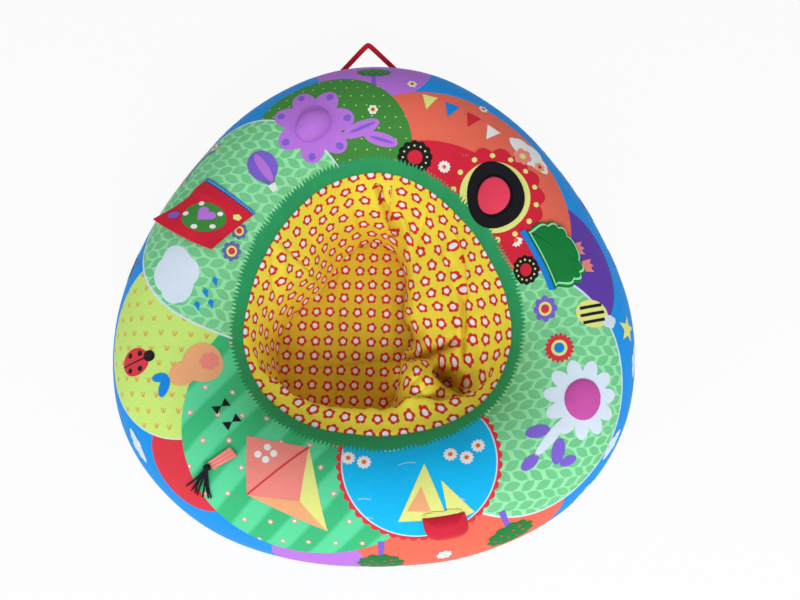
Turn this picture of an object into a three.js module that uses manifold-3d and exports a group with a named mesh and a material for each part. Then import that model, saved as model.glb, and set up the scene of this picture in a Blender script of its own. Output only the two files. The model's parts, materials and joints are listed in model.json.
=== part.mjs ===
// An inflatable play nest for a baby: a three-cornered air ring in a zipped cloth cover, with a
// cloth seat well sewn into its middle and soft play pieces sewn on top.
// Millimetres, +Z up, +Y towards the carry loop. The nest lies flat on the floor at z = 0.
import * as THREE from 'three';
import { mergeVertices } from 'three/addons/utils/BufferGeometryUtils.js';
import Module from 'manifold-3d';

const wasm = await Module();
wasm.setup();

// Clearances shared by every piece
const seamGap = 0.3;             // between two pieces that touch
const facetGap = 0.8;            // under a piece that lies on the rounded cover
const cutOverrun = 2;            // how far a cut runs past what it cuts

// The air ring as it fills its cover
const ringRadius = 337;          // mean radius of the tube's centre line
const cornerShare = 0.0665;      // how far the three corners stand out, of the mean radius
const tubeWidth = 240;
const tubeHeight = 268;          // before the floor flattens it
const floorSquash = 6;           // height lost where the tube lies on the floor
const clothThickness = 1.2;
const filmThickness = 0.8;       // the air ring's own wall
const filmGap = 2.4;             // between cover and air ring, which is drawn with fewer facets

// Where the cover's seams run, as angles round the tube's section from its outer side over the top
const openingAngle = 151;        // seam between top cover and seat well, on average
const openingAngleSwing = 7;     // how much deeper that seam runs at the corners
const outerSeamAngle = -62;      // seam between top cover and base
const cornerAngle = 90;          // direction of one of the three corners
// The top cover's printed panels: each starts at a step of the ring and ends where the next starts
const coverPanels = [
  { start: 0, print: 'purplePrint' },
  { start: 3, print: 'coralPrint' },
  { start: 10, print: 'greenPrint' },
  { start: 16, print: 'leafPrint' },
  { start: 22, print: 'skyPrint' },
  { start: 25, print: 'limePrint' },
  { start: 29, print: 'mintPrint' },
  { start: 33, print: 'pondPrint' },
  { start: 37, print: 'pondPrint' },
  { start: 41, print: 'leafPrint' },
  { start: 45, print: 'leafPrint' },
];
const wallPanels = 12;           // equal panels round the seat well's wall

// The base panel and its zip
const panelHeight = 8;           // underside of the panel above the floor, inside the tube
const panelRise = 25;            // width over which the panel climbs from the floor to there
const zipLength = 270;
const zipPlace = -222;           // the zip runs across, behind the seat well's near wall
const zipSlotWidth = 14;
const zipTapeWidth = 16;
const zipTapeThickness = 0.6;
const zipTeethWidth = 2.5;
const zipTeethThickness = 2.4;
const zipTeethPitch = 6;
const zipToothShare = 0.5;       // of the pitch
const zipRootShare = 0.4;        // of a row's width, how far its teeth are cut in
const zipRowGap = 1.4;           // between the two rows, where the slider's post runs
const sliderLength = 12;
const sliderWidth = 11;
const sliderPlate = 1;
const sliderPostWidth = 0.8;
const sliderPostLength = 4;
const bridgeLength = 7;
const bridgeWidth = 2;
const bridgeWall = 0.9;
const bridgeHole = 2;
const pullLength = 24;
const pullWidth = 7;
const pullBar = 1.1;             // thickness of the pull and of its cross bar
const pullWindow = 5.5;          // from the cross bar's middle to the solid tab
const stopLength = 3;

// The valve low on the ring's inner side, above the zip
const valveDirection = 270;
const valveAngle = 215;
const valveFlangeRadius = 14;
const valveFlangeThickness = 1.2;
const valveNeckRadius = 5;
const valveBoreRadius = 3.2;
const valveNeckLength = 14;
const plugPinLength = 10;
const plugCapRadius = 6;
const plugCapThickness = 1.4;
const plugClearance = 0.3;

// The seat well, told as shares of the ring's inner radius round the clock
const creaseAngle = 186;         // height on the tube where the wall turns down to the seat
const floorShares = [0.25, 0.31, 0.48, 0.7, 0.7, 0.69, 0.84, 0.91, 0.92, 0.92, 0.62, 0.36];
const creaseShares = [0.8, 0.82, 0.83, 0.9, 0.88, 0.84, 0.95, 0.97, 0.97, 0.96, 0.93, 0.86];
const wallFullnessShares = [1.15, 1.15, 1.1, 1, 1, 1, 1, 1, 1, 0.9, 0.45, 0.9];
const wadThickness = 8;
const wadShare = 0.9;            // size of the seat wadding, of the ring's inner radius
const wadFaceShare = 0.97;       // how far its flat faces reach before its rim rounds off
const foldDirections = [90, 18, 150, 324];
const foldDepths = [16, 10, 9, -16];
const foldWidths = [7, 8, 9, 8]; // in degrees round the ring

// The carry loop, a folded tape at the far corner
const loopDirection = 92.4;
const loopAngle = 10;            // height of its sewn ends round the tube
const loopHalfSpan = 64;
const loopReach = 54;
const loopTilt = 35;             // how steeply it stands out from the cover
const tapeWidth = 10;
const tapeThickness = 2;
const seatStep = 0.1;            // in such steps the loop's ends are moved up to the cover

// The square flap, hinged on a line that runs straight in over the tube
const squareFlapDirection = 145.8;
const squareFlapAngle = 95.5;
const squareFlapWidth = 107;
const squareFlapDepth = 100;
const squareFlapSkewShare = 0.25;
const squareFlapCurl = 9;        // how far its free edge stands off
const flapThickness = 3.6;
const crinkleFilm = 0.6;
const filmMargin = 7;
const bindingWidth = 6;
const bindingThickness = 1.4;

// The scalloped flap, hinged along the tube on a ribbon
const leafFlapDirection = 14;
const leafFlapAngle = 109;
const leafFlapWidth = 112;
const leafFlapDepth = 62;
const leafFlapCurl = 4;
const leafScallops = 7;
const leafScallopDepth = 5;
const leafShares = [0.35, 0.7, 1];
const ribbonWidth = 10;

// The squeaking dome
const domeDirection = 110.5;
const domeAngle = 101.5;
const domeLength = 66;
const domeWidth = 52;
const domeHeight = 22;
const squeakerRadius = 15;
const squeakerWall = 1.6;
const squeakerHeight = 8;
const domeWadShare = 0.62;

// The round press disc in its ring
const discDirection = 42;
const discAngle = 115;
const discRadius = 29;
const discThickness = 4;
const discCrown = 3;
const discFaceShare = 0.96;      // how far its flat underside reaches
const discCrownShares = [0.96, 0.65, 0.3];
const discStandoff = 6;          // lift of its underside, over the bellows
const ringPatchRadius = 54;
const ringPatchHole = 32;
const ringPatchThickness = 1.2;
const bellowsRadius = 20;
const bellowsWall = 1.6;

// The padded tongue with its trim
const tongueDirection = 286.6;
const tongueAngle = 75;
const tongueWidth = 64;
const tongueDepth = 42;
const tongueThickness = 13;
const tongueEdge = 2.5;          // thickness at its sewn rim
const tongueFullness = 2.4;      // how flat its top is before it falls to the edge
const tongueShares = [1, 0.85, 0.6, 0.3];
const tongueSeamOpening = 8;     // half the unsewn stretch where the filling went in
const trimWidth = 9;
const trimThickness = 1.2;
const trimScallops = 6;
const trimScallopDepth = 2;
const trimRootShare = 0.35;

// The ribbon tab with its tassel
const tabDirection = 228.3;
const tabAngle = 101;
const tabTurn = -15;             // its lie, turned from straight outwards
const tabEndShare = 0.62;        // width where it is gathered, of its root
const tabLength = 38;
const tabWidth = 19;
const tabThickness = 2;
const knotRadius = 5;
const strandCount = 7;
const strandLength = 52;
const strandThickness = 3;
const strandSpread = 40;         // angle that the strands fan out over
const strandSteps = 5;
const tasselTurn = 31;           // how far the tassel's lie turns from the tab's

// The low oval patch
const ovalDirection = 333;
const ovalAngle = 87;
const ovalLength = 66;
const ovalWidth = 62;
const ovalHeight = 7;
const ovalWadShare = 0.97;

// How finely the round shapes are drawn
const ringSteps = 48;
const filmSteps = 40;
const coverRows = 15;
const filmRows = 12;
const wallRows = 4;
const patchSteps = 22;
const roundSteps = 24;           // round a moulded piece
const pullEndSteps = 8;          // round the pull's free end
const strandSides = 5;
const knotSteps = [10, 7];       // round the tassel's knot, and over it
const middleShare = 0.5;         // how far out the innermost loop of a round face lies

const turn = 2 * Math.PI;
const rad = THREE.MathUtils.degToRad;
const tubeCentreHeight = tubeHeight / 2 - floorSquash;

// Radius of the tube's centre line in one direction: a circle with three soft corners
function centreRadius(theta) {
  return ringRadius * (1 + cornerShare * Math.cos(3 * (theta - rad(cornerAngle))));
}

// A point of the tube's skin, inset from the cover's outside, with the floor's flat under it
function skinPoint(theta, phi, inset = 0) {
  const radius = centreRadius(theta) + (tubeWidth / 2 - inset) * Math.cos(phi);
  const height = Math.max(tubeCentreHeight + (tubeHeight / 2 - inset) * Math.sin(phi), inset);
  return new THREE.Vector3(radius * Math.cos(theta), radius * Math.sin(theta), height);
}

function openingPhi(theta) {
  const swing = openingAngleSwing * Math.cos(3 * (theta - rad(cornerAngle)));
  return rad(openingAngle + swing);
}

// Share of the way through a smooth closed table, for a direction round the ring
function roundTable(table, theta) {
  const place = (((theta / turn) % 1) + 1) % 1 * table.length;
  const i = Math.floor(place);
  const at = (k) => table[(k + table.length) % table.length];
  const t = place - i;
  const [a, b, c, d] = [at(i - 1), at(i), at(i + 1), at(i + 2)];
  return b + 0.5 * t * (c - a + t * (2 * a - 5 * b + 4 * c - d + t * (3 * (b - c) + d - a)));
}

// Turns a list of position triples and triangles into a geometry whose faces point out
function solidFrom(points, triangles) {
  const geometry = new THREE.BufferGeometry();
  const values = points.flatMap((p) => [p.x, p.y, p.z]);
  geometry.setAttribute('position', new THREE.Float32BufferAttribute(values, 3));
  let volume = 0;
  const cross = new THREE.Vector3();
  for (const [a, b, c] of triangles) {
    volume += cross.crossVectors(points[b], points[c]).dot(points[a]);
  }
  const faces = volume < 0 ? triangles.map(([a, b, c]) => [a, c, b]) : triangles;
  geometry.setIndex(faces.flat());
  return geometry;
}

// Skins a row of closed loops. The ends are closed by a fan, or the last loop joins the first.
function loft(loops, joined = false) {
  const count = loops[0].length;
  const points = loops.flat();
  const triangles = [];
  const rows = joined ? loops.length : loops.length - 1;
  for (let i = 0; i < rows; i += 1) {
    const a = i * count;
    const b = ((i + 1) % loops.length) * count;
    for (let j = 0; j < count; j += 1) {
      const k = (j + 1) % count;
      triangles.push([a + j, a + k, b + k], [a + j, b + k, b + j]);
    }
  }
  if (!joined) {
    for (const [loop, first] of [[loops[0], true], [loops[loops.length - 1], false]]) {
      const centre = loop.reduce((sum, p) => sum.add(p), new THREE.Vector3()).divideScalar(count);
      points.push(centre);
      const start = first ? 0 : (loops.length - 1) * count;
      for (let j = 0; j < count; j += 1) {
        const side = [start + j, start + (j + 1) % count];
        triangles.push(first ? [points.length - 1, side[1], side[0]] : [points.length - 1, ...side]);
      }
    }
  }
  return solidFrom(points, triangles);
}

function toManifold(geometry) {
  const plain = geometry.clone();
  plain.deleteAttribute('normal');
  plain.deleteAttribute('uv');
  const merged = mergeVertices(plain);
  const mesh = new wasm.Mesh({
    numProp: 3,
    vertProperties: new Float32Array(merged.attributes.position.array),
    triVerts: new Uint32Array(merged.index.array),
  });
  return new wasm.Manifold(mesh);
}

function fromManifold(solid) {
  const mesh = solid.getMesh();
  const geometry = new THREE.BufferGeometry();
  geometry.setAttribute('position', new THREE.Float32BufferAttribute(mesh.vertProperties, 3));
  geometry.setIndex(new THREE.Uint32BufferAttribute(mesh.triVerts, 1));
  return geometry;
}

function cutFrom(geometry, ...cutters) {
  const cut = (body, cutter) => body.subtract(toManifold(cutter));
  return fromManifold(cutters.reduce(cut, toManifold(geometry)));
}

function joined(first, ...others) {
  return fromManifold(others.reduce((body, other) => body.add(toManifold(other)), toManifold(first)));
}

function box(x0, x1, y0, y1, z0, z1) {
  const shape = new THREE.BoxGeometry(x1 - x0, y1 - y0, z1 - z0);
  return shape.translate((x0 + x1) / 2, (y0 + y1) / 2, (z0 + z1) / 2);
}

const materials = {
  purplePrint: { color: 0x7a4fa3, roughness: 0.85 },
  coralPrint: { color: 0xf0785a, roughness: 0.85 },
  greenPrint: { color: 0x2f9c56, roughness: 0.85 },
  leafPrint: { color: 0x74c47e, roughness: 0.85 },
  skyPrint: { color: 0x2f9fd6, roughness: 0.85 },
  limePrint: { color: 0xd2d94a, roughness: 0.85 },
  mintPrint: { color: 0x5fbf8c, roughness: 0.85 },
  pondPrint: { color: 0x2b9bd8, roughness: 0.85 },
  baseCloth: { color: 0x2f8fc4, roughness: 0.9 },
  linerPrint: { color: 0xf0d33c, roughness: 0.88 },
  filmVinyl: { color: 0xe8ecef, roughness: 0.35 },
  wadding: { color: 0xf4f4f0, roughness: 0.95 },
  redCloth: { color: 0xd8333f, roughness: 0.85 },
  blueTape: { color: 0x2a78b8, roughness: 0.8 },
  leafCloth: { color: 0x2f9a5a, roughness: 0.85 },
  lilacCloth: { color: 0xb56cc0, roughness: 0.85 },
  pinkCloth: { color: 0xe06aa5, roughness: 0.85 },
  paleCloth: { color: 0xf2e2b0, roughness: 0.85 },
  salmonCloth: { color: 0xf08f80, roughness: 0.85 },
  blackCloth: { color: 0x17171c, roughness: 0.8 },
  crinkle: { color: 0xd9dde0, roughness: 0.3 },
  squeakerPlastic: { color: 0xf2f2ee, roughness: 0.5 },
  zipNylon: { color: 0x2470ad, roughness: 0.6 },
  zipMetal: { color: 0xb9bcc0, roughness: 0.35, metalness: 1 },
};

const nest = new THREE.Group();

function place(name, geometry, finish) {
  const material = new THREE.MeshStandardMaterial({ metalness: 0, ...materials[finish] });
  const mesh = new THREE.Mesh(geometry, material);
  mesh.name = name;
  nest.add(mesh);
  return mesh;
}

// A loop round the whole ring, at a section angle that may change with direction
function ringLoop(phiAt, inset, steps = ringSteps, start = 0) {
  return Array.from({ length: steps }, (_, i) => {
    const theta = start + (i / steps) * turn;
    return skinPoint(theta, phiAt(theta), inset);
  });
}

function between(a, b, share) {
  return a + (b - a) * share;
}

// The part of a loop between two of its steps, short of each by half the gap of a seam
function loopPart(loop, first, last) {
  const part = Array.from({ length: last - first + 1 }, (_, i) => loop[(first + i) % loop.length].clone());
  const pull = (end, next) => end.add(next.clone().sub(end).setLength(seamGap / 2));
  pull(part[0], part[1]);
  pull(part[part.length - 1], part[part.length - 2]);
  return part;
}

// A cloth panel from the rows of points on its face and on its back, closed along its four edges
function clothPanel(face, back) {
  const rows = face.length;
  const count = face[0].length;
  const behind = rows * count;
  const at = (i, j) => i * count + j;
  const triangles = [];
  const quad = (a, b, c, d) => triangles.push([a, b, c], [a, c, d]);
  for (let i = 0; i < rows - 1; i += 1) {
    for (let j = 0; j < count - 1; j += 1) {
      const [a, b, c, d] = [at(i, j), at(i, j + 1), at(i + 1, j + 1), at(i + 1, j)];
      quad(a, b, c, d);
      quad(behind + a, behind + d, behind + c, behind + b);
    }
    quad(at(i, 0), at(i + 1, 0), behind + at(i + 1, 0), behind + at(i, 0));
    quad(at(i, count - 1), behind + at(i, count - 1), behind + at(i + 1, count - 1), at(i + 1, count - 1));
  }
  for (let j = 0; j < count - 1; j += 1) {
    quad(at(0, j), behind + at(0, j), behind + at(0, j + 1), at(0, j + 1));
    quad(at(rows - 1, j), at(rows - 1, j + 1), behind + at(rows - 1, j + 1), behind + at(rows - 1, j));
  }
  return solidFrom([...face.flat(), ...back.flat()], triangles);
}

const twoDigits = (number) => String(number).padStart(2, '0');

// Top cover: printed panels from the opening seam over the tube to the outer seam.
// The whole cover comes back as one solid, for what is set against it.
function buildTopCover() {
  const phiAt = (share) => (theta) => between(openingPhi(theta), rad(outerSeamAngle), share);
  const rows = Array.from({ length: coverRows + 1 }, (_, i) => phiAt(i / coverRows));
  const rowsAt = (inset) => rows.map((row) => ringLoop(row, inset));
  const face = rowsAt(0);
  const back = rowsAt(clothThickness);
  coverPanels.forEach(({ start, print }, i) => {
    const end = i + 1 < coverPanels.length ? coverPanels[i + 1].start : ringSteps;
    const part = (rows) => rows.map((loop) => loopPart(loop, start, end));
    place(`cover_panel_${twoDigits(i + 1)}`, clothPanel(part(face), part(back)), print);
  });
  return toManifold(loft([...face, ...back.reverse()], true));
}

// Height where the tube's round section meets the floor, as an angle under its outer side
const floorPhi = Math.asin(-tubeCentreHeight / (tubeHeight / 2));
const panelTop = panelHeight + clothThickness;
const seatHeight = panelTop + seamGap + wadThickness + seamGap + clothThickness;

// A loop round the panel inside the tube's foot, at a share of the panel's radius
function panelLoop(share, height) {
  const foot = (tubeWidth / 2) * Math.cos(floorPhi) + panelRise;
  return Array.from({ length: ringSteps }, (_, i) => {
    const theta = (i / ringSteps) * turn;
    const radius = (centreRadius(theta) - foot) * share;
    return new THREE.Vector3(radius * Math.cos(theta), radius * Math.sin(theta), height);
  });
}

// Base: from the outer seam under the tube's foot, then a level panel with a slot for the zip
function buildBaseCover() {
  const seam = rad(outerSeamAngle) - seamGap / (tubeWidth / 2);
  const angles = [-Math.PI - floorPhi, floorPhi, between(floorPhi, seam, 0.5), seam];
  const under = angles.map((phi) => ringLoop(() => phi, 0));
  const over = angles.map((phi) => ringLoop(() => phi, clothThickness)).reverse();
  const loops = [
    panelLoop(middleShare, panelHeight), panelLoop(1, panelHeight), ...under,
    ...over, panelLoop(1, panelTop), panelLoop(middleShare, panelTop),
  ];
  const slot = box(
    -zipLength / 2, zipLength / 2, zipPlace - zipSlotWidth / 2, zipPlace + zipSlotWidth / 2,
    panelHeight - cutOverrun, panelTop + cutOverrun,
  );
  place('base_cover', cutFrom(loft(loops), slot), 'baseCloth');
}

// Zip: a tape and a row of teeth on each side, two end stops, and the slider with its pull
function buildZip() {
  const tapeBottom = panelTop + seamGap;
  const teethMiddle = tapeBottom + zipTapeThickness / 2;
  const teethBottom = teethMiddle - zipTeethThickness / 2;
  const teethTop = teethBottom + zipTeethThickness;
  const half = zipLength / 2;
  const rowEnd = half - stopLength - seamGap;
  const rowInner = zipRowGap / 2;
  const rowOuter = rowInner + zipTeethWidth;
  for (const [side, name] of [[-1, 'front'], [1, 'rear']]) {
    const near = rowOuter + seamGap;
    const ys = [zipPlace + side * near, zipPlace + side * (near + zipTapeWidth)].sort((a, b) => a - b);
    const tape = box(-half, half, ...ys, tapeBottom, tapeBottom + zipTapeThickness);
    place(`zip_tape_${name}`, tape, 'zipNylon');
    const comb = new THREE.Shape();
    const rootLine = zipPlace + side * between(rowInner, rowOuter, zipRootShare);
    const tipLine = zipPlace + side * rowInner;
    comb.moveTo(rowEnd, zipPlace + side * rowOuter);
    comb.lineTo(-rowEnd, zipPlace + side * rowOuter);
    comb.lineTo(-rowEnd, rootLine);
    const count = Math.floor((2 * rowEnd) / zipTeethPitch);
    const start = -(count * zipTeethPitch) / 2 + (zipTeethPitch * (1 - zipToothShare)) / 2;
    for (let i = 0; i < count; i += 1) {
      const x = start + i * zipTeethPitch;
      comb.lineTo(x, rootLine);
      comb.lineTo(x, tipLine);
      comb.lineTo(x + zipTeethPitch * zipToothShare, tipLine);
      comb.lineTo(x + zipTeethPitch * zipToothShare, rootLine);
    }
    comb.lineTo(rowEnd, rootLine);
    const teeth = new THREE.ExtrudeGeometry(comb, { depth: zipTeethThickness, bevelEnabled: false });
    place(`zip_teeth_${name}`, teeth.translate(0, 0, teethBottom), 'zipNylon');
  }
  for (const [side, name] of [[-1, 'left'], [1, 'right']]) {
    const xs = [side * half, side * (half - stopLength)].sort((a, b) => a - b);
    const stop = box(...xs, zipPlace - rowOuter, zipPlace + rowOuter, teethBottom, teethTop);
    place(`zip_stop_${name}`, stop, 'zipMetal');
  }
  const sliderX = rowEnd - sliderLength / 2;
  const plateTop = teethBottom - seamGap;
  const plateBottom = plateTop - sliderPlate;
  const upper = teethTop + seamGap;
  const plate = (z0, z1) => box(-sliderLength / 2, sliderLength / 2, -sliderWidth / 2, sliderWidth / 2, z0, z1);
  const post = box(
    -sliderPostLength / 2, sliderPostLength / 2, -sliderPostWidth / 2, sliderPostWidth / 2,
    plateTop - sliderPlate / 2, upper + sliderPlate / 2,
  );
  const bridge = box(
    -bridgeLength / 2, bridgeLength / 2, -bridgeWidth / 2, bridgeWidth / 2,
    plateBottom - bridgeHole - bridgeWall, plateTop - sliderPlate / 2,
  );
  const hole = box(
    bridgeWall - bridgeLength / 2, bridgeLength / 2 - bridgeWall, -bridgeWidth, bridgeWidth,
    plateBottom - bridgeHole, plateBottom,
  );
  const slider = joined(cutFrom(bridge, hole), plate(plateBottom, plateTop), post, plate(upper, upper + sliderPlate));
  place('zip_slider', slider, 'zipMetal').position.set(sliderX, zipPlace, 0);
  const windowHalf = bridgeWidth / 2 + bridgeWall / 2;
  const tab = new THREE.Shape();
  tab.moveTo(pullBar / 2, -pullWidth / 2);
  tab.lineTo(pullBar / 2, pullWidth / 2);
  tab.lineTo(pullWidth / 2 - pullLength, pullWidth / 2);
  tab.absarc(pullWidth / 2 - pullLength, 0, pullWidth / 2, Math.PI / 2, (3 * Math.PI) / 2, false);
  const window = new THREE.Path();
  window.moveTo(-pullBar / 2, -windowHalf);
  window.lineTo(-pullWindow, -windowHalf);
  window.lineTo(-pullWindow, windowHalf);
  window.lineTo(-pullBar / 2, windowHalf);
  tab.holes.push(window);
  const pull = new THREE.ExtrudeGeometry(tab, { depth: pullBar, bevelEnabled: false, curveSegments: pullEndSteps });
  pull.translate(0, 0, -pullBar / 2);
  place('zip_pull', pull, 'zipMetal').position.set(sliderX, zipPlace, plateBottom - bridgeHole / 2);
}

// Air ring: a hollow vinyl tube, open only where the valve sits
const filmInset = clothThickness + filmGap;

function filmTube(inset) {
  const loops = [];
  for (let i = 0; i < filmRows; i += 1) {
    const phi = rad(valveAngle) + ((i + 0.5) / filmRows) * turn;
    loops.push(ringLoop(() => phi, inset, filmSteps, rad(valveDirection) + (0.5 / filmSteps) * turn));
  }
  return loft(loops, true);
}

// Frame of the flat facet that the valve sits on, its Z axis pointing out of the tube
function valveFrame() {
  const theta = rad(valveDirection);
  const phi = rad(valveAngle);
  const across = (0.5 / filmSteps) * turn;
  const over = (0.5 / filmRows) * turn;
  const corner = (s, t) => skinPoint(theta + s * across, phi + t * over, filmInset);
  const corners = [corner(-1, -1), corner(1, -1), corner(1, 1), corner(-1, 1)];
  const middle = corners.reduce((sum, p) => sum.add(p), new THREE.Vector3()).divideScalar(corners.length);
  const x = corner(1, -1).sub(corner(-1, -1)).normalize();
  const side = corner(-1, 1).sub(corner(-1, -1));
  const z = new THREE.Vector3().crossVectors(x, side).normalize();
  const y = new THREE.Vector3().crossVectors(z, x);
  return new THREE.Matrix4().makeBasis(x, y, z).setPosition(middle);
}

function turned(profile) {
  const points = profile.map(([r, z]) => new THREE.Vector2(r, z));
  return mergeVertices(new THREE.LatheGeometry(points, roundSteps).rotateX(Math.PI / 2));
}

function buildAirRing() {
  const frame = valveFrame();
  const bore = valveNeckRadius + seamGap;
  const hole = new THREE.CylinderGeometry(bore, bore, valveFlangeRadius, roundSteps);
  hole.rotateX(Math.PI / 2).applyMatrix4(frame);
  place('air_ring', cutFrom(filmTube(filmInset), filmTube(filmInset + filmThickness), hole), 'filmVinyl');
  const top = seamGap + valveFlangeThickness;
  const stem = [
    [valveBoreRadius, -valveNeckLength], [valveNeckRadius, -valveNeckLength], [valveNeckRadius, seamGap],
    [valveFlangeRadius, seamGap], [valveFlangeRadius, top], [valveBoreRadius, top],
    [valveBoreRadius, -valveNeckLength],
  ];
  place('valve_stem', turned(stem), 'filmVinyl').applyMatrix4(frame);
  const base = top + seamGap;
  const pin = valveBoreRadius - plugClearance;
  const plug = [
    [0, base - plugPinLength], [pin, base - plugPinLength], [pin, base],
    [plugCapRadius, base], [plugCapRadius, base + plugCapThickness], [0, base + plugCapThickness],
  ];
  place('valve_plug', turned(plug), 'squeakerPlastic').applyMatrix4(frame);
}

// A point of the seat well's wall, from the seat's edge (0) over the crease (half) to the seam (1)
function wallPoint(theta, share) {
  const seam = openingPhi(theta) + (2 * seamGap) / (tubeWidth / 2);
  const low = rad(creaseAngle);
  const crease = skinPoint(theta, low);
  const creaseRadius = Math.hypot(crease.x, crease.y) * roundTable(creaseShares, theta);
  let radius;
  let height;
  let limit = Infinity;
  if (share >= 0.5) {
    const down = 2 * (1 - share);
    const skin = skinPoint(theta, between(seam, low, down));
    limit = Math.hypot(skin.x, skin.y);
    radius = limit * between(1, roundTable(creaseShares, theta), down * down);
    height = skin.z;
  } else {
    const up = 2 * share;
    const floorRadius = (centreRadius(theta) - tubeWidth / 2) * roundTable(floorShares, theta);
    radius = between(floorRadius, creaseRadius, up);
    height = between(seatHeight, crease.z, up ** roundTable(wallFullnessShares, theta));
  }
  const middle = Math.sin(Math.PI * share);
  foldDirections.forEach((direction, i) => {
    const off = Math.atan2(Math.sin(theta - rad(direction)), Math.cos(theta - rad(direction)));
    radius -= foldDepths[i] * middle * Math.exp(-((off / rad(foldWidths[i])) ** 2));
  });
  radius = Math.min(radius, limit);
  return new THREE.Vector3(radius * Math.cos(theta), radius * Math.sin(theta), height);
}

// Seat well: a floor, and a wall of panels with its main folds, hung from the opening seam
function buildWell() {
  const loopOf = (pointAt) => Array.from({ length: ringSteps }, (_, i) => pointAt((i / ringSteps) * turn));
  const front = [];
  for (let i = 0; i <= 2 * wallRows; i += 1) {
    front.push(loopOf((theta) => wallPoint(theta, i / (2 * wallRows))));
  }
  // The back lies one cloth thickness behind the front, along the surface's own normal
  const back = front.map((loop, i) => loop.map((point, j) => {
    const [next, last] = [loop[(j + 1) % ringSteps], loop[(j + ringSteps - 1) % ringSteps]];
    const along = new THREE.Vector3().subVectors(next, last);
    const upper = front[Math.min(i + 1, front.length - 1)][j];
    const lower = front[Math.max(i - 1, 0)][j];
    const outward = along.cross(new THREE.Vector3().subVectors(upper, lower)).normalize();
    return outward.multiplyScalar(clothThickness).add(point);
  }));
  const width = ringSteps / wallPanels;
  for (let i = 0; i < wallPanels; i += 1) {
    const part = (rows) => rows.map((loop) => loopPart(loop, i * width, (i + 1) * width));
    place(`well_wall_${twoDigits(i + 1)}`, clothPanel(part(front), part(back)), 'linerPrint');
  }
  // The floor ends one seam gap short of the wall's lower edge, on its face and on its back
  const floorLoop = (inset, share, height) => loopOf((theta) => {
    const edge = wallPoint(theta, 0);
    const radius = (Math.hypot(edge.x, edge.y) - inset) * share;
    return new THREE.Vector3(radius * Math.cos(theta), radius * Math.sin(theta), height);
  });
  const inset = seamGap + clothThickness;
  place('well_floor', loft([
    floorLoop(inset, middleShare, seatHeight), floorLoop(inset, 1, seatHeight),
    floorLoop(inset, 1, seatHeight - clothThickness), floorLoop(inset, middleShare, seatHeight - clothThickness),
  ]), 'linerPrint');
  const wadLoop = (share, height) => loopOf((theta) => {
    const radius = (centreRadius(theta) - tubeWidth / 2) * wadShare * share;
    return new THREE.Vector3(radius * Math.cos(theta), radius * Math.sin(theta), height);
  });
  const wadBottom = panelTop + seamGap;
  const wadTop = wadBottom + wadThickness;
  const wad = [
    wadLoop(middleShare, wadBottom), wadLoop(wadFaceShare, wadBottom), wadLoop(1, between(wadBottom, wadTop, 0.5)),
    wadLoop(wadFaceShare, wadTop), wadLoop(middleShare, wadTop),
  ];
  place('seat_wadding', loft(wad), 'wadding');
}

// Lays a flat point on the cover: x runs with the ring, y in over the tube, turned about the centre
function lay(patch, x, y, lift) {
  const theta = rad(patch.direction);
  const phi = rad(patch.angle);
  const reach = centreRadius(theta) + (tubeWidth / 2) * Math.cos(phi);
  const [c, s] = [Math.cos(rad(patch.turn ?? 0)), Math.sin(rad(patch.turn ?? 0))];
  const along = x * c - y * s;
  const over = x * s + y * c;
  return skinPoint(theta + along / reach, phi + over / ((tubeWidth + tubeHeight) / 4), -lift);
}

// A closed patch from loops of one outline, each given as [share, lift]
function layLoops(patch, outline, sections, steps = patchSteps) {
  const loops = sections.map(([share, lift]) => Array.from({ length: steps }, (_, i) => {
    const [x, y] = outline(i / steps);
    return lay(patch, x * share, y * share, typeof lift === 'function' ? lift(x * share, y * share) : lift);
  }));
  return loops;
}

const unitRound = (u) => [Math.cos(u * turn), Math.sin(u * turn)];
const oval = (length, width) => (u) => [(length / 2) * Math.cos(u * turn), (width / 2) * Math.sin(u * turn)];

// A flat slab laid on the cover, its shape given by a mapping of x and y to [x, y, extra lift]
function laySlab(patch, [x0, x1], [y0, y1], [z0, z1], shape, cells = 6) {
  const slab = new THREE.BoxGeometry(x1 - x0, y1 - y0, z1 - z0, cells, cells, 1);
  slab.translate((x0 + x1) / 2, (y0 + y1) / 2, (z0 + z1) / 2);
  slab.deleteAttribute('normal');
  slab.deleteAttribute('uv');
  const geometry = mergeVertices(slab);
  const position = geometry.attributes.position;
  for (let i = 0; i < position.count; i += 1) {
    const [x, y, extra] = shape(position.getX(i), position.getY(i));
    const point = lay(patch, x, y, position.getZ(i) + extra);
    position.setXYZ(i, point.x, point.y, point.z);
  }
  return geometry;
}

const flat = (x, y) => [x, y, 0];

// Square flap: two layers of cloth with crinkling film between them, open at the hinge
function buildSquareFlap() {
  const patch = { direction: squareFlapDirection, angle: squareFlapAngle, turn: -90 };
  const half = squareFlapWidth / 2;
  const shape = (x, y) => {
    const out = Math.max(y, 0) / squareFlapDepth;
    return [x + squareFlapSkewShare * y, y, squareFlapCurl * out * out];
  };
  const bottom = facetGap;
  const top = facetGap + flapThickness;
  const inside = [bottom + clothThickness, top - clothThickness];
  const cloth = laySlab(patch, [-half, half], [0, squareFlapDepth], [bottom, top], shape);
  const hollow = laySlab(
    patch, [filmMargin - half, half - filmMargin], [-cutOverrun, squareFlapDepth - filmMargin], inside, shape,
  );
  place('square_flap', cutFrom(cloth, hollow), 'redCloth');
  const middle = between(...inside, 0.5);
  const film = laySlab(
    patch, [filmMargin + seamGap - half, half - filmMargin - seamGap],
    [filmMargin, squareFlapDepth - filmMargin - seamGap], [middle - crinkleFilm / 2, middle + crinkleFilm / 2], shape,
  );
  place('square_flap_film', film, 'crinkle');
  const binding = laySlab(
    patch, [-half, half], [-seamGap - bindingWidth, -seamGap], [facetGap, facetGap + bindingThickness], flat,
  );
  place('square_flap_binding', binding, 'blueTape');
}

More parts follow.
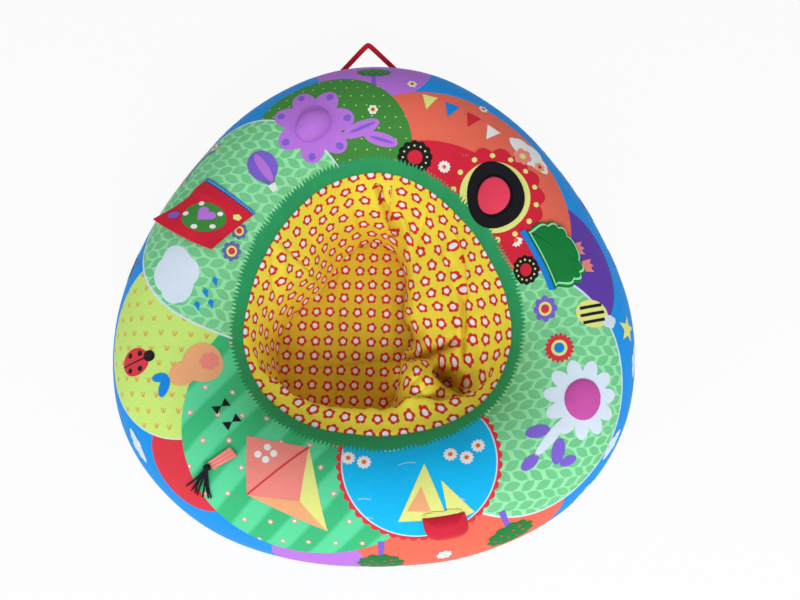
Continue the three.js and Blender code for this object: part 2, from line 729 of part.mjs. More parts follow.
const rootShare = 0.2;           // of such an outline's steps, how many lie along its root
const outlineSoftness = 0.6;     // below 1, the far corners fill out towards a rectangle's

// Outline with a straight root along y = 0 and a full far edge, scalloped by a depth
function leafOutline(width, depth, scallops, scallopDepth, share) {
  return (u) => {
    if (u < share) {
      return [between(width / 2, -width / 2, u / share), -depth / 2];
    }
    const angle = Math.PI * (1 - (u - share) / (1 - share));
    const dip = 1 - (scallopDepth / depth) * (1 - Math.abs(Math.sin(scallops * angle)));
    const soft = (value) => Math.sign(value) * Math.abs(value) ** outlineSoftness;
    return [(width / 2) * soft(Math.cos(angle)) * dip, -depth / 2 + depth * soft(Math.sin(angle)) * dip];
  };
}

// Scalloped flap: two layers of cloth with crinkling film, hinged on a ribbon along the tube
function buildLeafFlap() {
  const patch = { direction: leafFlapDirection, angle: leafFlapAngle, turn: 180 };
  const centre = (x, y) => [x, y + leafFlapDepth / 2];
  const outline = leafOutline(leafFlapWidth, leafFlapDepth, leafScallops, leafScallopDepth, rootShare);
  const lift = (base) => (y) => base + leafFlapCurl * (y / leafFlapDepth) ** 2;
  const bottom = lift(facetGap);
  const top = lift(facetGap + flapThickness);
  const steps = 2 * patchSteps;
  const loop = (share, height) => Array.from({ length: steps }, (_, i) => {
    const [x, y] = centre(...outline(i / steps).map((value) => value * share));
    return lay(patch, x, y, height(y));
  });
  const under = leafShares.map((share) => loop(share, bottom));
  const over = leafShares.map((share) => loop(share, top)).reverse();
  const cloth = loft([...under, ...over]);
  const pocketHalf = leafFlapWidth / 2 - 2 * filmMargin;
  const pocketEnd = leafFlapDepth - 2 * filmMargin;
  const shape = (x, y) => [x, y, leafFlapCurl * (Math.max(y, 0) / leafFlapDepth) ** 2];
  const inside = [facetGap + clothThickness, facetGap + flapThickness - clothThickness];
  const hollow = laySlab(patch, [-pocketHalf, pocketHalf], [-cutOverrun, pocketEnd], inside, shape);
  place('leaf_flap', cutFrom(cloth, hollow), 'leafCloth');
  const middle = between(...inside, 0.5);
  const film = laySlab(
    patch, [seamGap - pocketHalf, pocketHalf - seamGap], [filmMargin, pocketEnd - seamGap],
    [middle - crinkleFilm / 2, middle + crinkleFilm / 2], shape,
  );
  place('leaf_flap_film', film, 'crinkle');
  const ribbon = laySlab(
    patch, [-leafFlapWidth / 2, leafFlapWidth / 2], [-seamGap - ribbonWidth, -seamGap],
    [facetGap, facetGap + bindingThickness], flat,
  );
  place('leaf_flap_ribbon', ribbon, 'blueTape');
}

// Where the loops of a dome lie, from near its crown to its rim
const domeShares = [0.3, 0.6, 0.85, 0.96, 1];
const fillingShares = [1, 0.75, 0.4];
const domeRise = (share) => Math.sqrt(Math.max(1 - share * share, 0));

// A sewn-on dome of cloth, hollow and open to the cover under it
function domeShell(patch, length, width, height) {
  const inner = 1 - clothThickness / (Math.min(length, width) / 2);
  const outside = domeShares.map((s) => [s, facetGap + height * domeRise(s)]);
  const inside = domeShares.map((s) => [s * inner, facetGap + (height - clothThickness) * domeRise(s)]).reverse();
  return loft(layLoops(patch, oval(length, width), [...outside, ...inside]));
}

// The filling under such a dome, out to a share of its width and down to a given lift
function domeFilling(patch, length, width, height, reachShare, bottom) {
  const inner = 1 - (clothThickness + seamGap) / (Math.min(length, width) / 2);
  const full = height - clothThickness - 4 * seamGap;
  const shares = fillingShares.map((s) => s * reachShare);
  const crown = shares.map((s) => [s * inner, Math.max(facetGap + full * domeRise(s), bottom + seamGap)]);
  const under = [[middleShare * reachShare * inner, bottom], [reachShare * inner, bottom]];
  return loft(layLoops(patch, oval(length, width), [...under, ...crown]));
}

// A squeaker's bellows: a ring with one fold, open through its middle
function bellows(patch, radius, wall, bottom, top) {
  const fold = radius - wall;
  const middle = between(bottom, top, 0.5);
  const sections = [
    [radius, bottom], [fold, middle], [radius, top], [radius - wall, top], [fold - wall, middle], [radius - wall, bottom],
  ];
  return loft(layLoops(patch, unitRound, sections), true);
}

// Squeaking dome: cloth, the wadding that is pressed, and the squeaker under it
function buildDome() {
  const patch = { direction: domeDirection, angle: domeAngle };
  place('dome_cover', domeShell(patch, domeLength, domeWidth, domeHeight), 'lilacCloth');
  const seat = facetGap + squeakerHeight;
  place('dome_squeaker', bellows(patch, squeakerRadius, squeakerWall, facetGap, seat), 'squeakerPlastic');
  const filling = domeFilling(patch, domeLength, domeWidth, domeHeight, domeWadShare, seat + seamGap);
  place('dome_wadding', filling, 'wadding');
}

// Round press pad over its bellows, in the middle of a black ring
function buildPressDisc() {
  const patch = { direction: discDirection, angle: discAngle };
  const ring = [
    [ringPatchHole, facetGap], [ringPatchRadius, facetGap],
    [ringPatchRadius, facetGap + ringPatchThickness], [ringPatchHole, facetGap + ringPatchThickness],
  ];
  place('press_ring', loft(layLoops(patch, unitRound, ring), true), 'blackCloth');
  const crown = (share) => discStandoff + discThickness + discCrown * (1 - share * share);
  const pad = [
    [middleShare, discStandoff], [discFaceShare, discStandoff], [1, discStandoff + discThickness / 2],
    ...discCrownShares.map((share) => [share, crown(share)]),
  ];
  place('press_pad', loft(layLoops(patch, oval(2 * discRadius, 2 * discRadius), pad)), 'redCloth');
  place('press_bellows', bellows(patch, bellowsRadius, bellowsWall, facetGap, discStandoff - seamGap), 'squeakerPlastic');
}

// Padded tongue, hinged at its straight root, with a scalloped trim beside the root
function buildTongue() {
  const patch = { direction: tongueDirection, angle: tongueAngle, turn: 180 };
  const outline = leafOutline(tongueWidth, tongueDepth, 1, 0, rootShare);
  const full = (share) => tongueEdge + (tongueThickness - tongueEdge) * (1 - share ** tongueFullness);
  const loopsOf = (shrink, bottom, thin) => {
    const at = (share, height) => Array.from({ length: patchSteps }, (_, i) => {
      const [x, y] = outline(i / patchSteps);
      return lay(patch, x * share * shrink, y * share * shrink + tongueDepth / 2, height);
    });
    const over = tongueShares.map((share) => at(share, facetGap + full(share * shrink) - thin));
    return loft([at(middleShare, bottom), at(1, bottom), ...over]);
  };
  const half = tongueDepth / 2;
  const wall = 1 - clothThickness / half;
  const stuffing = 1 - (clothThickness + seamGap) / half;
  const cavity = loopsOf(wall, facetGap + clothThickness / 2, clothThickness);
  const mouth = laySlab(
    patch, [-tongueSeamOpening, tongueSeamOpening], [-cutOverrun, clothThickness + cutOverrun],
    [facetGap + clothThickness / 2, facetGap + clothThickness], flat, 2,
  );
  place('tongue_pad', cutFrom(loopsOf(1, facetGap, 0), cavity, mouth), 'redCloth');
  const filling = loopsOf(stuffing, facetGap + clothThickness / 2 + seamGap, clothThickness + seamGap);
  place('tongue_filling', filling, 'wadding');
  const steps = 2 * patchSteps;
  const trim = (share, height) => Array.from({ length: steps }, (_, i) => {
    const [x, y] = leafOutline(tongueWidth, trimWidth, trimScallops, trimScallopDepth, trimRootShare)(i / steps);
    return lay(patch, x * share, -seamGap - trimWidth / 2 - y * share, height);
  });
  const low = facetGap;
  const high = facetGap + trimThickness;
  place('tongue_trim', loft([trim(middleShare, low), trim(1, low), trim(1, high), trim(middleShare, high)]), 'paleCloth');
}

// Ribbon tab, gathered at its end into the knot of a tassel
function buildTassel() {
  const patch = { direction: tabDirection, angle: tabAngle, turn: 180 + tabTurn };
  const shape = (x, y) => [x * between(1, tabEndShare, y / tabLength), y, 0];
  const top = facetGap + tabThickness;
  const tab = laySlab(patch, [-tabWidth / 2, tabWidth / 2], [0, tabLength], [facetGap, top], shape, 4);
  place('ribbon_tab', tab, 'salmonCloth');
  const knotAt = tabLength + seamGap + knotRadius;
  const [c, s] = [Math.cos(rad(tasselTurn)), Math.sin(rad(tasselTurn))];
  // Points of the tassel, measured from the knot along its own lie
  const fan = (x, y, lift) => lay(patch, x * c - y * s, knotAt + x * s + y * c, lift);
  const knotLift = seamGap + knotRadius;
  const knot = new THREE.SphereGeometry(knotRadius, ...knotSteps);
  const middle = fan(0, 0, knotLift);
  knot.translate(middle.x, middle.y, middle.z);
  const strands = Array.from({ length: strandCount }, (_, i) => {
    const angle = rad(strandSpread) * (i / (strandCount - 1) - 0.5);
    const loops = Array.from({ length: strandSteps + 1 }, (__, step) => {
      const share = step / strandSteps;
      const far = between(knotRadius / 2, strandLength, share);
      const lift = seamGap + between(knotRadius, strandThickness / 2, Math.min(2 * share, 1));
      return Array.from({ length: strandSides }, (___, k) => {
        const a = (k / strandSides) * turn;
        const side = (strandThickness / 2) * Math.cos(a);
        const x = far * Math.sin(angle) + side * Math.cos(angle);
        const y = far * Math.cos(angle) - side * Math.sin(angle);
        return fan(x, y, lift + (strandThickness / 2) * Math.sin(a));
      });
    });
    return loft(loops);
  });
  place('tassel', joined(knot, ...strands), 'blackCloth');
}

// Low padded oval
function buildOval() {
  const patch = { direction: ovalDirection, angle: ovalAngle };
  place('oval_patch', domeShell(patch, ovalLength, ovalWidth, ovalHeight), 'pinkCloth');
  place('oval_wadding', domeFilling(patch, ovalLength, ovalWidth, ovalHeight, ovalWadShare, facetGap), 'wadding');
}

// Carry loop: a tape folded in the middle, its two ends sewn to the cover's outer side
function buildCarryLoop() {
  const theta = rad(loopDirection);
  const phi = rad(loopAngle);
  const out = new THREE.Vector3(Math.cos(theta), Math.sin(theta), 0);
  const side = new THREE.Vector3(-Math.sin(theta), Math.cos(theta), 0);
  const middle = skinPoint(theta, phi);
  const lean = Math.atan2(loopReach, loopHalfSpan);
  const wide = tapeWidth / 2 / Math.sin(lean);
  // The cover falls back beside the loop's middle, so the ends lie that much further in
  const inner = loopHalfSpan - wide;
  const backs = [-1, 1].map((way) => {
    const beside = skinPoint(theta + (way * inner) / Math.hypot(middle.x, middle.y), phi);
    return beside.sub(middle).dot(out);
  });
  const rootLine = Math.max(...backs) + tapeThickness / 2;
  const slope = (loopReach - rootLine) / loopHalfSpan;
  const crest = loopReach + tapeWidth / 4;
  const tip = loopHalfSpan + wide - (crest - rootLine) / slope;
  const tape = new THREE.Shape([
    [-loopHalfSpan - wide, rootLine], [-inner, rootLine], [0, rootLine + inner * slope], [inner, rootLine],
    [loopHalfSpan + wide, rootLine], [tip, crest], [-tip, crest],
  ].map(([x, y]) => new THREE.Vector2(x, y - rootLine)));
  const geometry = new THREE.ExtrudeGeometry(tape, { depth: tapeThickness, bevelEnabled: false });
  geometry.translate(0, 0, -tapeThickness / 2);
  const up = new THREE.Vector3(0, 0, 1);
  const stand = out.clone().multiplyScalar(Math.cos(rad(loopTilt))).addScaledVector(up, Math.sin(rad(loopTilt)));
  const across = side.clone().negate();
  const face = new THREE.Vector3().crossVectors(across, stand);
  const frame = new THREE.Matrix4().makeBasis(across, stand, face);
  frame.setPosition(middle.clone().addScaledVector(out, rootLine));
  // The ends turn about their own edge, so they keep half the tape's thickness clear of the cover
  const clear = seamGap + (tapeThickness / 2) * (1 - Math.sin(rad(loopTilt)));
  const touches = (shift) => {
    const moved = geometry.clone().applyMatrix4(frame).translate(...out.clone().multiplyScalar(shift).toArray());
    return toManifold(moved).intersect(coverSolid).volume() > 0;
  };
  let shift = 0;
  while (!touches(shift) && shift > -tubeWidth / 2) {
    shift -= seatStep;
  }
  while (touches(shift)) {
    shift += seatStep;
  }
  frame.setPosition(middle.clone().addScaledVector(out, rootLine + shift + clear));
  place('carry_loop', geometry, 'redCloth').applyMatrix4(frame);
}

const coverSolid = buildTopCover();
buildBaseCover();
buildZip();
buildAirRing();
buildWell();
buildSquareFlap();
buildLeafFlap();
buildDome();
buildPressDisc();
buildTongue();
buildTassel();
buildOval();
buildCarryLoop();

// The origin is the middle of the nest's outline, on the floor
const bounds = new THREE.Box3().setFromObject(nest, true);
const middle = bounds.getCenter(new THREE.Vector3());
nest.position.set(-middle.x, -middle.y, -bounds.min.z);

export default nest;
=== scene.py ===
"""Sews and dresses an inflatable play nest round its packed model: cover, seat well, sewn-on play pieces, stage."""
import json

import bmesh
import bpy
import numpy as np
from mathutils import Matrix, Vector


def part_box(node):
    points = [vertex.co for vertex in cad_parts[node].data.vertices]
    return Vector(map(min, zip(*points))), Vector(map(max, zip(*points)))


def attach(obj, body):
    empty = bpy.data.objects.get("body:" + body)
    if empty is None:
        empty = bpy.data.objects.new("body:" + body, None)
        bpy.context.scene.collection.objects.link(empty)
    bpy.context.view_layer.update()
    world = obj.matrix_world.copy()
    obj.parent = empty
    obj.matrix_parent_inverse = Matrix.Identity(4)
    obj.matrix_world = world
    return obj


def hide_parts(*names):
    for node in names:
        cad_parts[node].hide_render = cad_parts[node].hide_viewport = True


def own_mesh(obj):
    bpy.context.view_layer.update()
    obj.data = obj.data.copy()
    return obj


bl_info = {
    "name": "Inflatable Play Nest",
    "version": (1, 0, 0),
    "blender": (4, 5, 0),
    "location": "View3D > Sidebar > Play Nest",
    "description": "Builds the cloth, padding and prints of an inflatable play nest",
    "category": "Object",
}

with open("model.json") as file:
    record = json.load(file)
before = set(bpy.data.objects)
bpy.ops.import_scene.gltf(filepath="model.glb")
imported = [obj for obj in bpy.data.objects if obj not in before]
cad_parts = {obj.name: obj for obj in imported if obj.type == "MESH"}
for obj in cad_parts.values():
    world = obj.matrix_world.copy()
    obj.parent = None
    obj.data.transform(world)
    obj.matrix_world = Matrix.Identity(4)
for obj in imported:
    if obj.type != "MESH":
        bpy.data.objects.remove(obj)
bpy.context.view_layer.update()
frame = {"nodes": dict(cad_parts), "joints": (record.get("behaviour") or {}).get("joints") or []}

# Sizes are in millimetres round the ring's own middle, and angles in degrees, until a mesh is made
MILLIMETRE = 0.001
MERGE_DISTANCE = 2e-6  # in metres
FRAME_SHIFT = (-0.0058, -44.1366, 0.0)  # from the ring's middle to the packed model's origin
RING_RADIUS = 337.0
CORNER_SHARE = 0.0665
CORNER_DIRECTION = 90
HALF_WIDTH = 120.0
HALF_HEIGHT = 134.0
CENTRE_HEIGHT = 128.0
MEAN_HALF = (HALF_WIDTH + HALF_HEIGHT) / 2
OPENING_LEAN = 151
OPENING_SWING = 7
OPENING_TRIM = (4, 5, 4, -2, 0, 3, 6, 4, 0, -2, 0, 3)
OUTER_SEAM = -62
SEAM_GAP = 0.3
FACET_GAP = 0.8
CLOTH = 1.2
SEAT_HEIGHT = 19.0
PANEL_HEIGHT = 8.0
PANEL_RISE = 25.0
FOOT_LEAN = float(np.degrees(np.arcsin(-CENTRE_HEIGHT / HALF_HEIGHT)))
VINYL_INSET = -3.7
WELD = 0.5  # height of the vinyl tube's welded ridges
VALVE_PLACE = (270, 215)  # direction and lean
ZIP_PLACE = -222.0
ZIP_LENGTH = 270.0
ZIP_SLOT = 14.0
ZIP_START, ZIP_SWEEP = -58.0, 296  # the ring's directions that face the zip's far side: the first, and how many
GRASS_WIDTH = 40.5
FLOWERS_ROUND = 48
FULL_TURN = 2 * np.pi

# The seat well's wall every 30 degrees round the ring, as shares of the ring's inner radius
FLOOR_SHARES = (0.25, 0.31, 0.5, 0.71, 0.7, 0.69, 0.84, 0.93, 0.99, 0.99, 0.42, 0.34)
CREASE_SHARES = (0.8, 0.82, 0.83, 0.9, 0.88, 0.84, 0.95, 0.97, 0.97, 0.96, 0.93, 0.86)
FULLNESS = (0.22, 0.2, 0.22, 0.7, 1, 1, 1, 1, 1, 0.8, 0.32, 0.28)
FOLDS = ((90, 16, 7), (18, 10, 8), (150, 9, 9), (324, -16, 8))  # direction, depth, width in degrees
CREASE_LEAN = 186
NEAR_BULGE = (268, 42, 0.84, 0.1, 24)  # direction, half spread in degrees, share of depth, its spread, depth
# Creases and ridges of the seat well's cloth: depth (a ridge below nought), width, and their line seen from above
CREASES = (
    (30, 6, ((-6, 236), (8, 214), (24, 190), (38, 164))),
    (-16, 8, ((8, 240), (24, 214), (42, 188), (54, 158), (60, 120))),
    (-7, 9, ((56, 140), (62, 90), (68, 20), (66, -50))),
    (19, 5, ((136, 146), (153, 92), (161, 28), (163, -36), (160, -92))),
    (-9, 8, ((120, 138), (139, 84), (148, 22), (150, -38), (147, -88))),
    (44, 9, ((44, -82), (90, -74), (156, -46))),
    (62, 14, ((100, -100), (128, -120), (164, -142))),
    (9, 4, ((-188, 124), (-150, 98), (-112, 70), (-80, 108))),
    (6, 4, ((-186, 120), (-190, 40), (-186, -40), (-187, -118))),
    (-5, 6, ((-172, 118), (-174, 50), (-170, 0))),
    (5, 3.5, ((-186, -101), (-110, -94), (-30, -84), (53, -75))),
    (3.5, 2.5, ((-79, 70), (-81, 0), (-78, -84), (-84, -180))),
    (-4, 11, ((14, 150), (22, 60), (20, -20), (26, -70))),
    (5, 4, ((-60, 228), (-44, 196), (-30, 160))),
    (6, 5, ((-150, -150), (-130, -176), (-90, -196))),
    (5, 4, ((196, -60), (176, -110), (140, -150))),
    (5, 4, ((92, 198), (78, 150), (84, 110))),
)
LUMP = (64, -130, 48, 46, 64)  # middle, half spreads and height of the gathered lump
LUMP_TIP = (17, -182)
POCKET = (134, -114, 16, 26)  # middle, spread and depth of the dark pocket beside the lump

# Small wrinkles of the seat well's cloth: turn, pitch, drift, height
WRINKLES = ((0.4, 34, 0.3, 2.0), (1.7, 27, 1.9, 1.6), (2.7, 41, 4.1, 2.2), (1.1, 16, 2.6, 0.8))

# Where the play pieces are sewn on: direction round the ring, lean over the tube, turn of their own axes
SQUARE_FLAP = (145.8, 95.5, -90)
LEAF_FLAP = (14, 109, 180)
DOME = (110.5, 101.5, 0)
DISC = (42, 115, 0)
DISC_SCALE = 1.02  # the disc is drawn a little larger than its named radii
TONGUE = (286.6, 75, 180)
TAB = (228.3, 101, 165)
OVAL = (333, 87, 0)
LOOP_DIRECTION = 92.4

# Sizes of the sewn-on pieces
FLAP_HALF, FLAP_DEPTH, FLAP_THICK = 53.5, 100.0, 3.6
FLAP_SKEW, FLAP_DRAWN = 0.26, 0.2  # shift across per length out, and share by which one corner is drawn in
FLAP_FLARE, FLAP_HOLLOW, FLAP_CREASE, FLAP_WAVE = 5, 7, 4.5, 1.8
FLAP_CURL = (9, 4, 12)  # how far its free edge stands up all over, and more at either corner
LEAF_WIDTH, LEAF_DEPTH, LEAF_THICK = 112.0, 62.0, 3.6
LEAF_RISE = 4  # how far the scalloped flap's far edge stands up
FILM_LEVELS = (2.9, 2.3)  # over and under side of the crinkle films
DOME_SIZE = (66, 52, 21.5)  # along the ring, over the tube, height
OVAL_SIZE = (66, 62, 6.9)
RING_INNER, RING_OUTER = 32, 54
PAD_RADIUS = 29
TONGUE_WIDTH, TONGUE_LENGTH = 64, 42
TRIM_DEPTH, TRIM_OFF = 9, -4.8
TAB_HALF, TAB_LENGTH = 9.5, 38
KNOT_RADIUS, TASSEL_TURN = 5, 31
STRANDS, STRAND_LENGTH, STRAND_WIDTH, STRAND_FAN = 7, 52, 2.9, 40
LOOP_HALF, LOOP_STAND = 64.0, 35  # half the spread of its ends, and its slope in degrees
LOOP_WIDTH, LOOP_THICK, LOOP_FOLD = 9.6, 2.0, 3.0
STITCH_GAP, STITCH_GIRTH = 1.5, 0.42

# Every dye and moulded colour, as a screen shows it
DYES = {
    "band_blue": ("Outer band", "1b98f0"),
    "leaf_green": ("Leaf field", "9cecb0"),
    "leaf_shade": ("Leaves of the leaf field", "76d094"),
    "meadow_green": ("Dark green field", "438d3f"),
    "coral": ("Coral field", "f0705b"),
    "violet": ("Violet field", "6440ad"),
    "lime": ("Lime field", "cdf07c"),
    "mint": ("Mint field", "3fbf80"),
    "mint_light": ("Light stripes of the mint field", "5fdca2"),
    "crescent_red": ("Red crescent", "dd3a48"),
    "pond_blue": ("Pond", "10c4fb"),
    "lilac": ("Lilac strips and flower", "c07ae6"),
    "grass": ("Grass band round the opening", "2a9660"),
    "liner_yellow": ("Seat well cloth", "f8e84c"),
    "petal_red": ("Petals printed in the seat well", "d33232"),
    "white": ("White print", "f4f4f6"),
    "sky_white": ("Cloud print", "dcecfb"),
    "toy_red": ("Red play cloth", "d9263e"),
    "pad_pink": ("Press pad", "f04562"),
    "ink_black": ("Black cloth", "17171d"),
    "tape_blue": ("Bindings and ribbon", "158ae8"),
    "bush_green": ("Scalloped flap", "15803c"),
    "salmon": ("Ribbon tab and kite", "f58f86"),
    "magenta": ("Oval pad", "cf57ae"),
    "sail_yellow": ("Sails and trim", "e9ee8a"),
    "peach": ("Peach print", "f3b07e"),
    "orange": ("Orange print", "e8762e"),
    "grape": ("Purple print", "8166d6"),
    "slate": ("Slate blue print", "6a6fae"),
    "loop_red": ("Carry loop", "c01f2e"),
    "base_blue": ("Base cloth", "1d78c4"),
    "vinyl": ("Air ring", "b9c4cc"),
    "fill_white": ("Wadding", "e8e6e0"),
    "nylon": ("Zip", "1c5fa8"),
    "steel": ("Zip slider", "b8bcc2"),
    "squeak_white": ("Moulded plastic", "e6e4dc"),
    "film": ("Crinkle film", "d3dce4"),
    "floor": ("Floor", "f1f1f1"),
}


def paint(code):
    """The linear colour of a screen colour written as six hexadecimal figures: each channel is unbent by the screen's
    own curve."""
    channel = np.array([int(code[i:i + 2], 16) / 255 for i in (0, 2, 4)])
    linear = np.where(channel <= 0.04045, channel / 12.92, ((channel + 0.055) / 1.055) ** 2.4)
    return (*[float(x) for x in linear], 1.0)


class NestColours(bpy.types.PropertyGroup):
    """The colours of the nest's cloths and moulded parts"""
    __annotations__ = {
        key: bpy.props.FloatVectorProperty(
            name=label, description=f"Colour of: {label.lower()}", subtype="COLOR", size=4,
            min=0.0, max=1.0, default=paint(code),
        )
        for key, (label, code) in DYES.items()
    }


def length(label, description, value):
    return bpy.props.FloatProperty(name=label, description=description, default=value, min=0.0, unit="LENGTH")


class NestSizes(bpy.types.PropertyGroup):
    """The sizes of the nest's finer detail"""
    pucker: length("Pucker depth", "How deep the cover puckers along its seams", 0.0011)
    thread: length("Thread pitch", "Distance between the threads of the cloth's weave", 0.0009)
    flower_pitch: length("Flower pitch", "Distance between the seat well's printed flowers", 0.0295)
    grass_tooth: length("Grass blade height", "How far the grass band's blades reach", 0.0115)
    leaf_length: length("Printed leaf length", "Length of one leaf of the leaf fields' print", 0.026)
    stitch: length("Stitch length", "Length of one sewn stitch", 0.0032)
    lamp_power: bpy.props.FloatProperty(
        name="Lamp power", description="Power of the main lamp", default=17.0, min=0.0, unit="POWER",
    )


def sizes():
    return bpy.context.scene.nest_sizes


def dye(key):
    return tuple(getattr(bpy.context.scene.nest_colours, key))


# ---------------------------------------------------------------- shapes

def rad(degrees):
    return np.radians(degrees)


def between(a, b, share):
    return a + (b - a) * share


def round_steps(count):
    """Equal steps once round, the last on the first."""
    return np.linspace(0, FULL_TURN, count + 1)


def flat_grid(x_range, y_range, counts):
    return np.meshgrid(np.linspace(*x_range, counts[0]), np.linspace(*y_range, counts[1]), indexing="ij")


def spun(x, y, degrees):
    """A flat point turned round nought."""
    c, s = np.cos(rad(degrees)), np.sin(rad(degrees))
    return x * c - y * s, x * s + y * c


def filled_out(angle, power):
    """Cosine and sine of an angle, each raised to a power with its sign kept: below 1 it fills a circle's corners."""
    return [np.sign(f(angle)) * np.abs(f(angle)) ** power for f in (np.cos, np.sin)]


def centre_radius(turn):
    """Radius of the tube's centre line: a circle that swells three times round the ring."""
    return RING_RADIUS * (1 + CORNER_SHARE * np.cos(3 * (turn - rad(CORNER_DIRECTION))))


def skin(turn, lean, lift=0.0):
    """A point of the cover: out from the centre line by the half width times cos(lean), up by the half height times
    sin(lean), both grown by the lift, and never below the floor."""
    reach = centre_radius(turn) + (HALF_WIDTH + lift) * np.cos(lean)
    height = np.maximum(CENTRE_HEIGHT + (HALF_HEIGHT + lift) * np.sin(lean), np.maximum(-lift, 0.0))
    return np.stack(np.broadcast_arrays(reach * np.cos(turn), reach * np.sin(turn), height), -1)


def opening_lean(turn):
    """Lean of the opening's seam: it swings three times round the ring, with a small trim read off the photograph."""
    swing = OPENING_SWING * np.cos(3 * (turn - rad(CORNER_DIRECTION)))
    return rad(OPENING_LEAN + swing + round_table(OPENING_TRIM, turn))


def cover_lift(turn, lean):
    """How far the cover stands off its plain tube: soft waves all over, and puckers that die out from each seam."""
    slack = 0.45 * np.sin(9 * turn + 1.3 * np.sin(2 * lean)) + 0.4 * np.sin(14 * turn + 3 * lean)
    from_opening = np.maximum(opening_lean(turn) - lean, 0) * MEAN_HALF
    from_base = np.maximum(lean - rad(OUTER_SEAM), 0) * MEAN_HALF
    ripple = np.sin(53 * turn + 0.8 * np.sin(13 * turn)) + 0.6 * np.sin(34 * turn + 1.7)
    fade = np.exp(-from_opening / 13) * (1 - np.exp(-(from_opening / 7) ** 2)) + np.exp(-from_base / 18)
    tuck = -1.2 * (np.exp(-(from_opening / 3) ** 2) + np.exp(-(from_base / 3) ** 2))
    return slack + sizes().pucker / MILLIMETRE * ripple * fade + tuck


def plan_skin(x, y, lift=0.0):
    """A point of the flat plan of the cover, laid on it: its direction stays, and its distance past the centre line
    is walked down the tube's outer side, or up over the top towards the opening."""
    turn = np.arctan2(y, x)
    lean = np.pi / 2 - (np.hypot(x, y) - centre_radius(turn)) / MEAN_HALF
    return skin(turn, lean, cover_lift(turn, lean) + lift)


def patch_place(patch, x, y):
    """Direction and lean of a flat point of a patch: x runs with the ring and y in over the tube, turned first."""
    direction, lean, twist = patch
    reach = centre_radius(rad(direction)) + HALF_WIDTH * np.cos(rad(lean))
    along, over = spun(x, y, twist)
    return rad(direction) + along / reach, rad(lean) + over / MEAN_HALF


def lay(patch, x, y, lift):
    return skin(*patch_place(patch, x, y), lift)


def round_table(table, turn):
    """A smooth closed curve through equal steps round the ring: a cubic between the two steps beside a place, whose
    slope at each is half the difference of that step's neighbours."""
    values = np.array(table, float)
    place = np.mod(turn / FULL_TURN, 1) * len(values)
    i = np.floor(place).astype(int)
    t = place - i
    a, b, c, d = (values[(i + k) % len(values)] for k in (-1, 0, 1, 2))
    return b + 0.5 * t * (c - a + t * (2 * a - 5 * b + 4 * c - d + t * (3 * (b - c) + d - a)))


# ---------------------------------------------------------------- meshes

def sheet_grid(points, wrap=(False, False), maps=None):
    """Quads between the neighbours of a grid of points. A wrapped side's last line is its first. Maps are numbers per
    grid point, kept apart on both sides of a wrap."""
    rows, columns = points.shape[:2]
    used = (rows - 1 if wrap[0] else rows, columns - 1 if wrap[1] else columns)
    i, j = np.meshgrid(np.arange(rows - 1), np.arange(columns - 1), indexing="ij")
    corners = [(i, j), (i + 1, j), (i + 1, j + 1), (i, j + 1)]
    faces = np.stack([(a % used[0]) * used[1] + b % used[1] for a, b in corners], -1).reshape(-1, 4)
    picks = np.stack([a * columns + b for a, b in corners], -1).reshape(-1)
    kept = {name: np.asarray(m, float).reshape(rows * columns, -1)[picks] for name, m in (maps or {}).items()}
    return {"points": points[:used[0], :used[1]].reshape(-1, 3), "faces": faces, "maps": kept}


def turned_over(part):
    order = np.arange(len(part["faces"]) * 4).reshape(-1, 4)[:, ::-1].reshape(-1)
    return {
        "points": part["points"], "faces": part["faces"][:, ::-1],
        "maps": {name: m[order] for name, m in part["maps"].items()},
    }


def together(parts):
    """Several grids as one, the places of their points shifted on."""
    shifts = np.cumsum([0] + [len(p["points"]) for p in parts[:-1]])
    names = set.intersection(*[set(p["maps"]) for p in parts])
    return {
        "points": np.concatenate([p["points"] for p in parts]),
        "faces": np.concatenate([p["faces"] + s for p, s in zip(parts, shifts)]),
        "maps": {n: np.concatenate([p["maps"][n] for p in parts]) for n in names},
    }


def cloth_map(points):
    """Lengths along a grid's middle lines, as the flat place of each point on its cloth."""
    middle_row, middle_column = points[points.shape[0] // 2], points[:, points.shape[1] // 2]
    walk = [np.concatenate([[0], np.cumsum(np.linalg.norm(np.diff(line, axis=0), axis=1))])
            for line in (middle_column, middle_row)]
    u, v = np.meshgrid(*walk, indexing="ij")
    return np.stack([u, v], -1) * MILLIMETRE


def slab(top, bottom):
    """A closed body between two equal grids: the top, the bottom turned over, and a strip down each side."""
    flat = cloth_map(top)
    parts = [sheet_grid(top, maps={"Cloth": flat}), turned_over(sheet_grid(bottom, maps={"Cloth": flat}))]
    for a, b, m in ((top[0], bottom[0], flat[0]), (bottom[-1], top[-1], flat[-1]),
                    (bottom[:, 0], top[:, 0], flat[:, 0]), (top[:, -1], bottom[:, -1], flat[:, -1])):
        parts.append(sheet_grid(np.stack([a, b]), maps={"Cloth": np.stack([m, m])}))
    return together(parts)


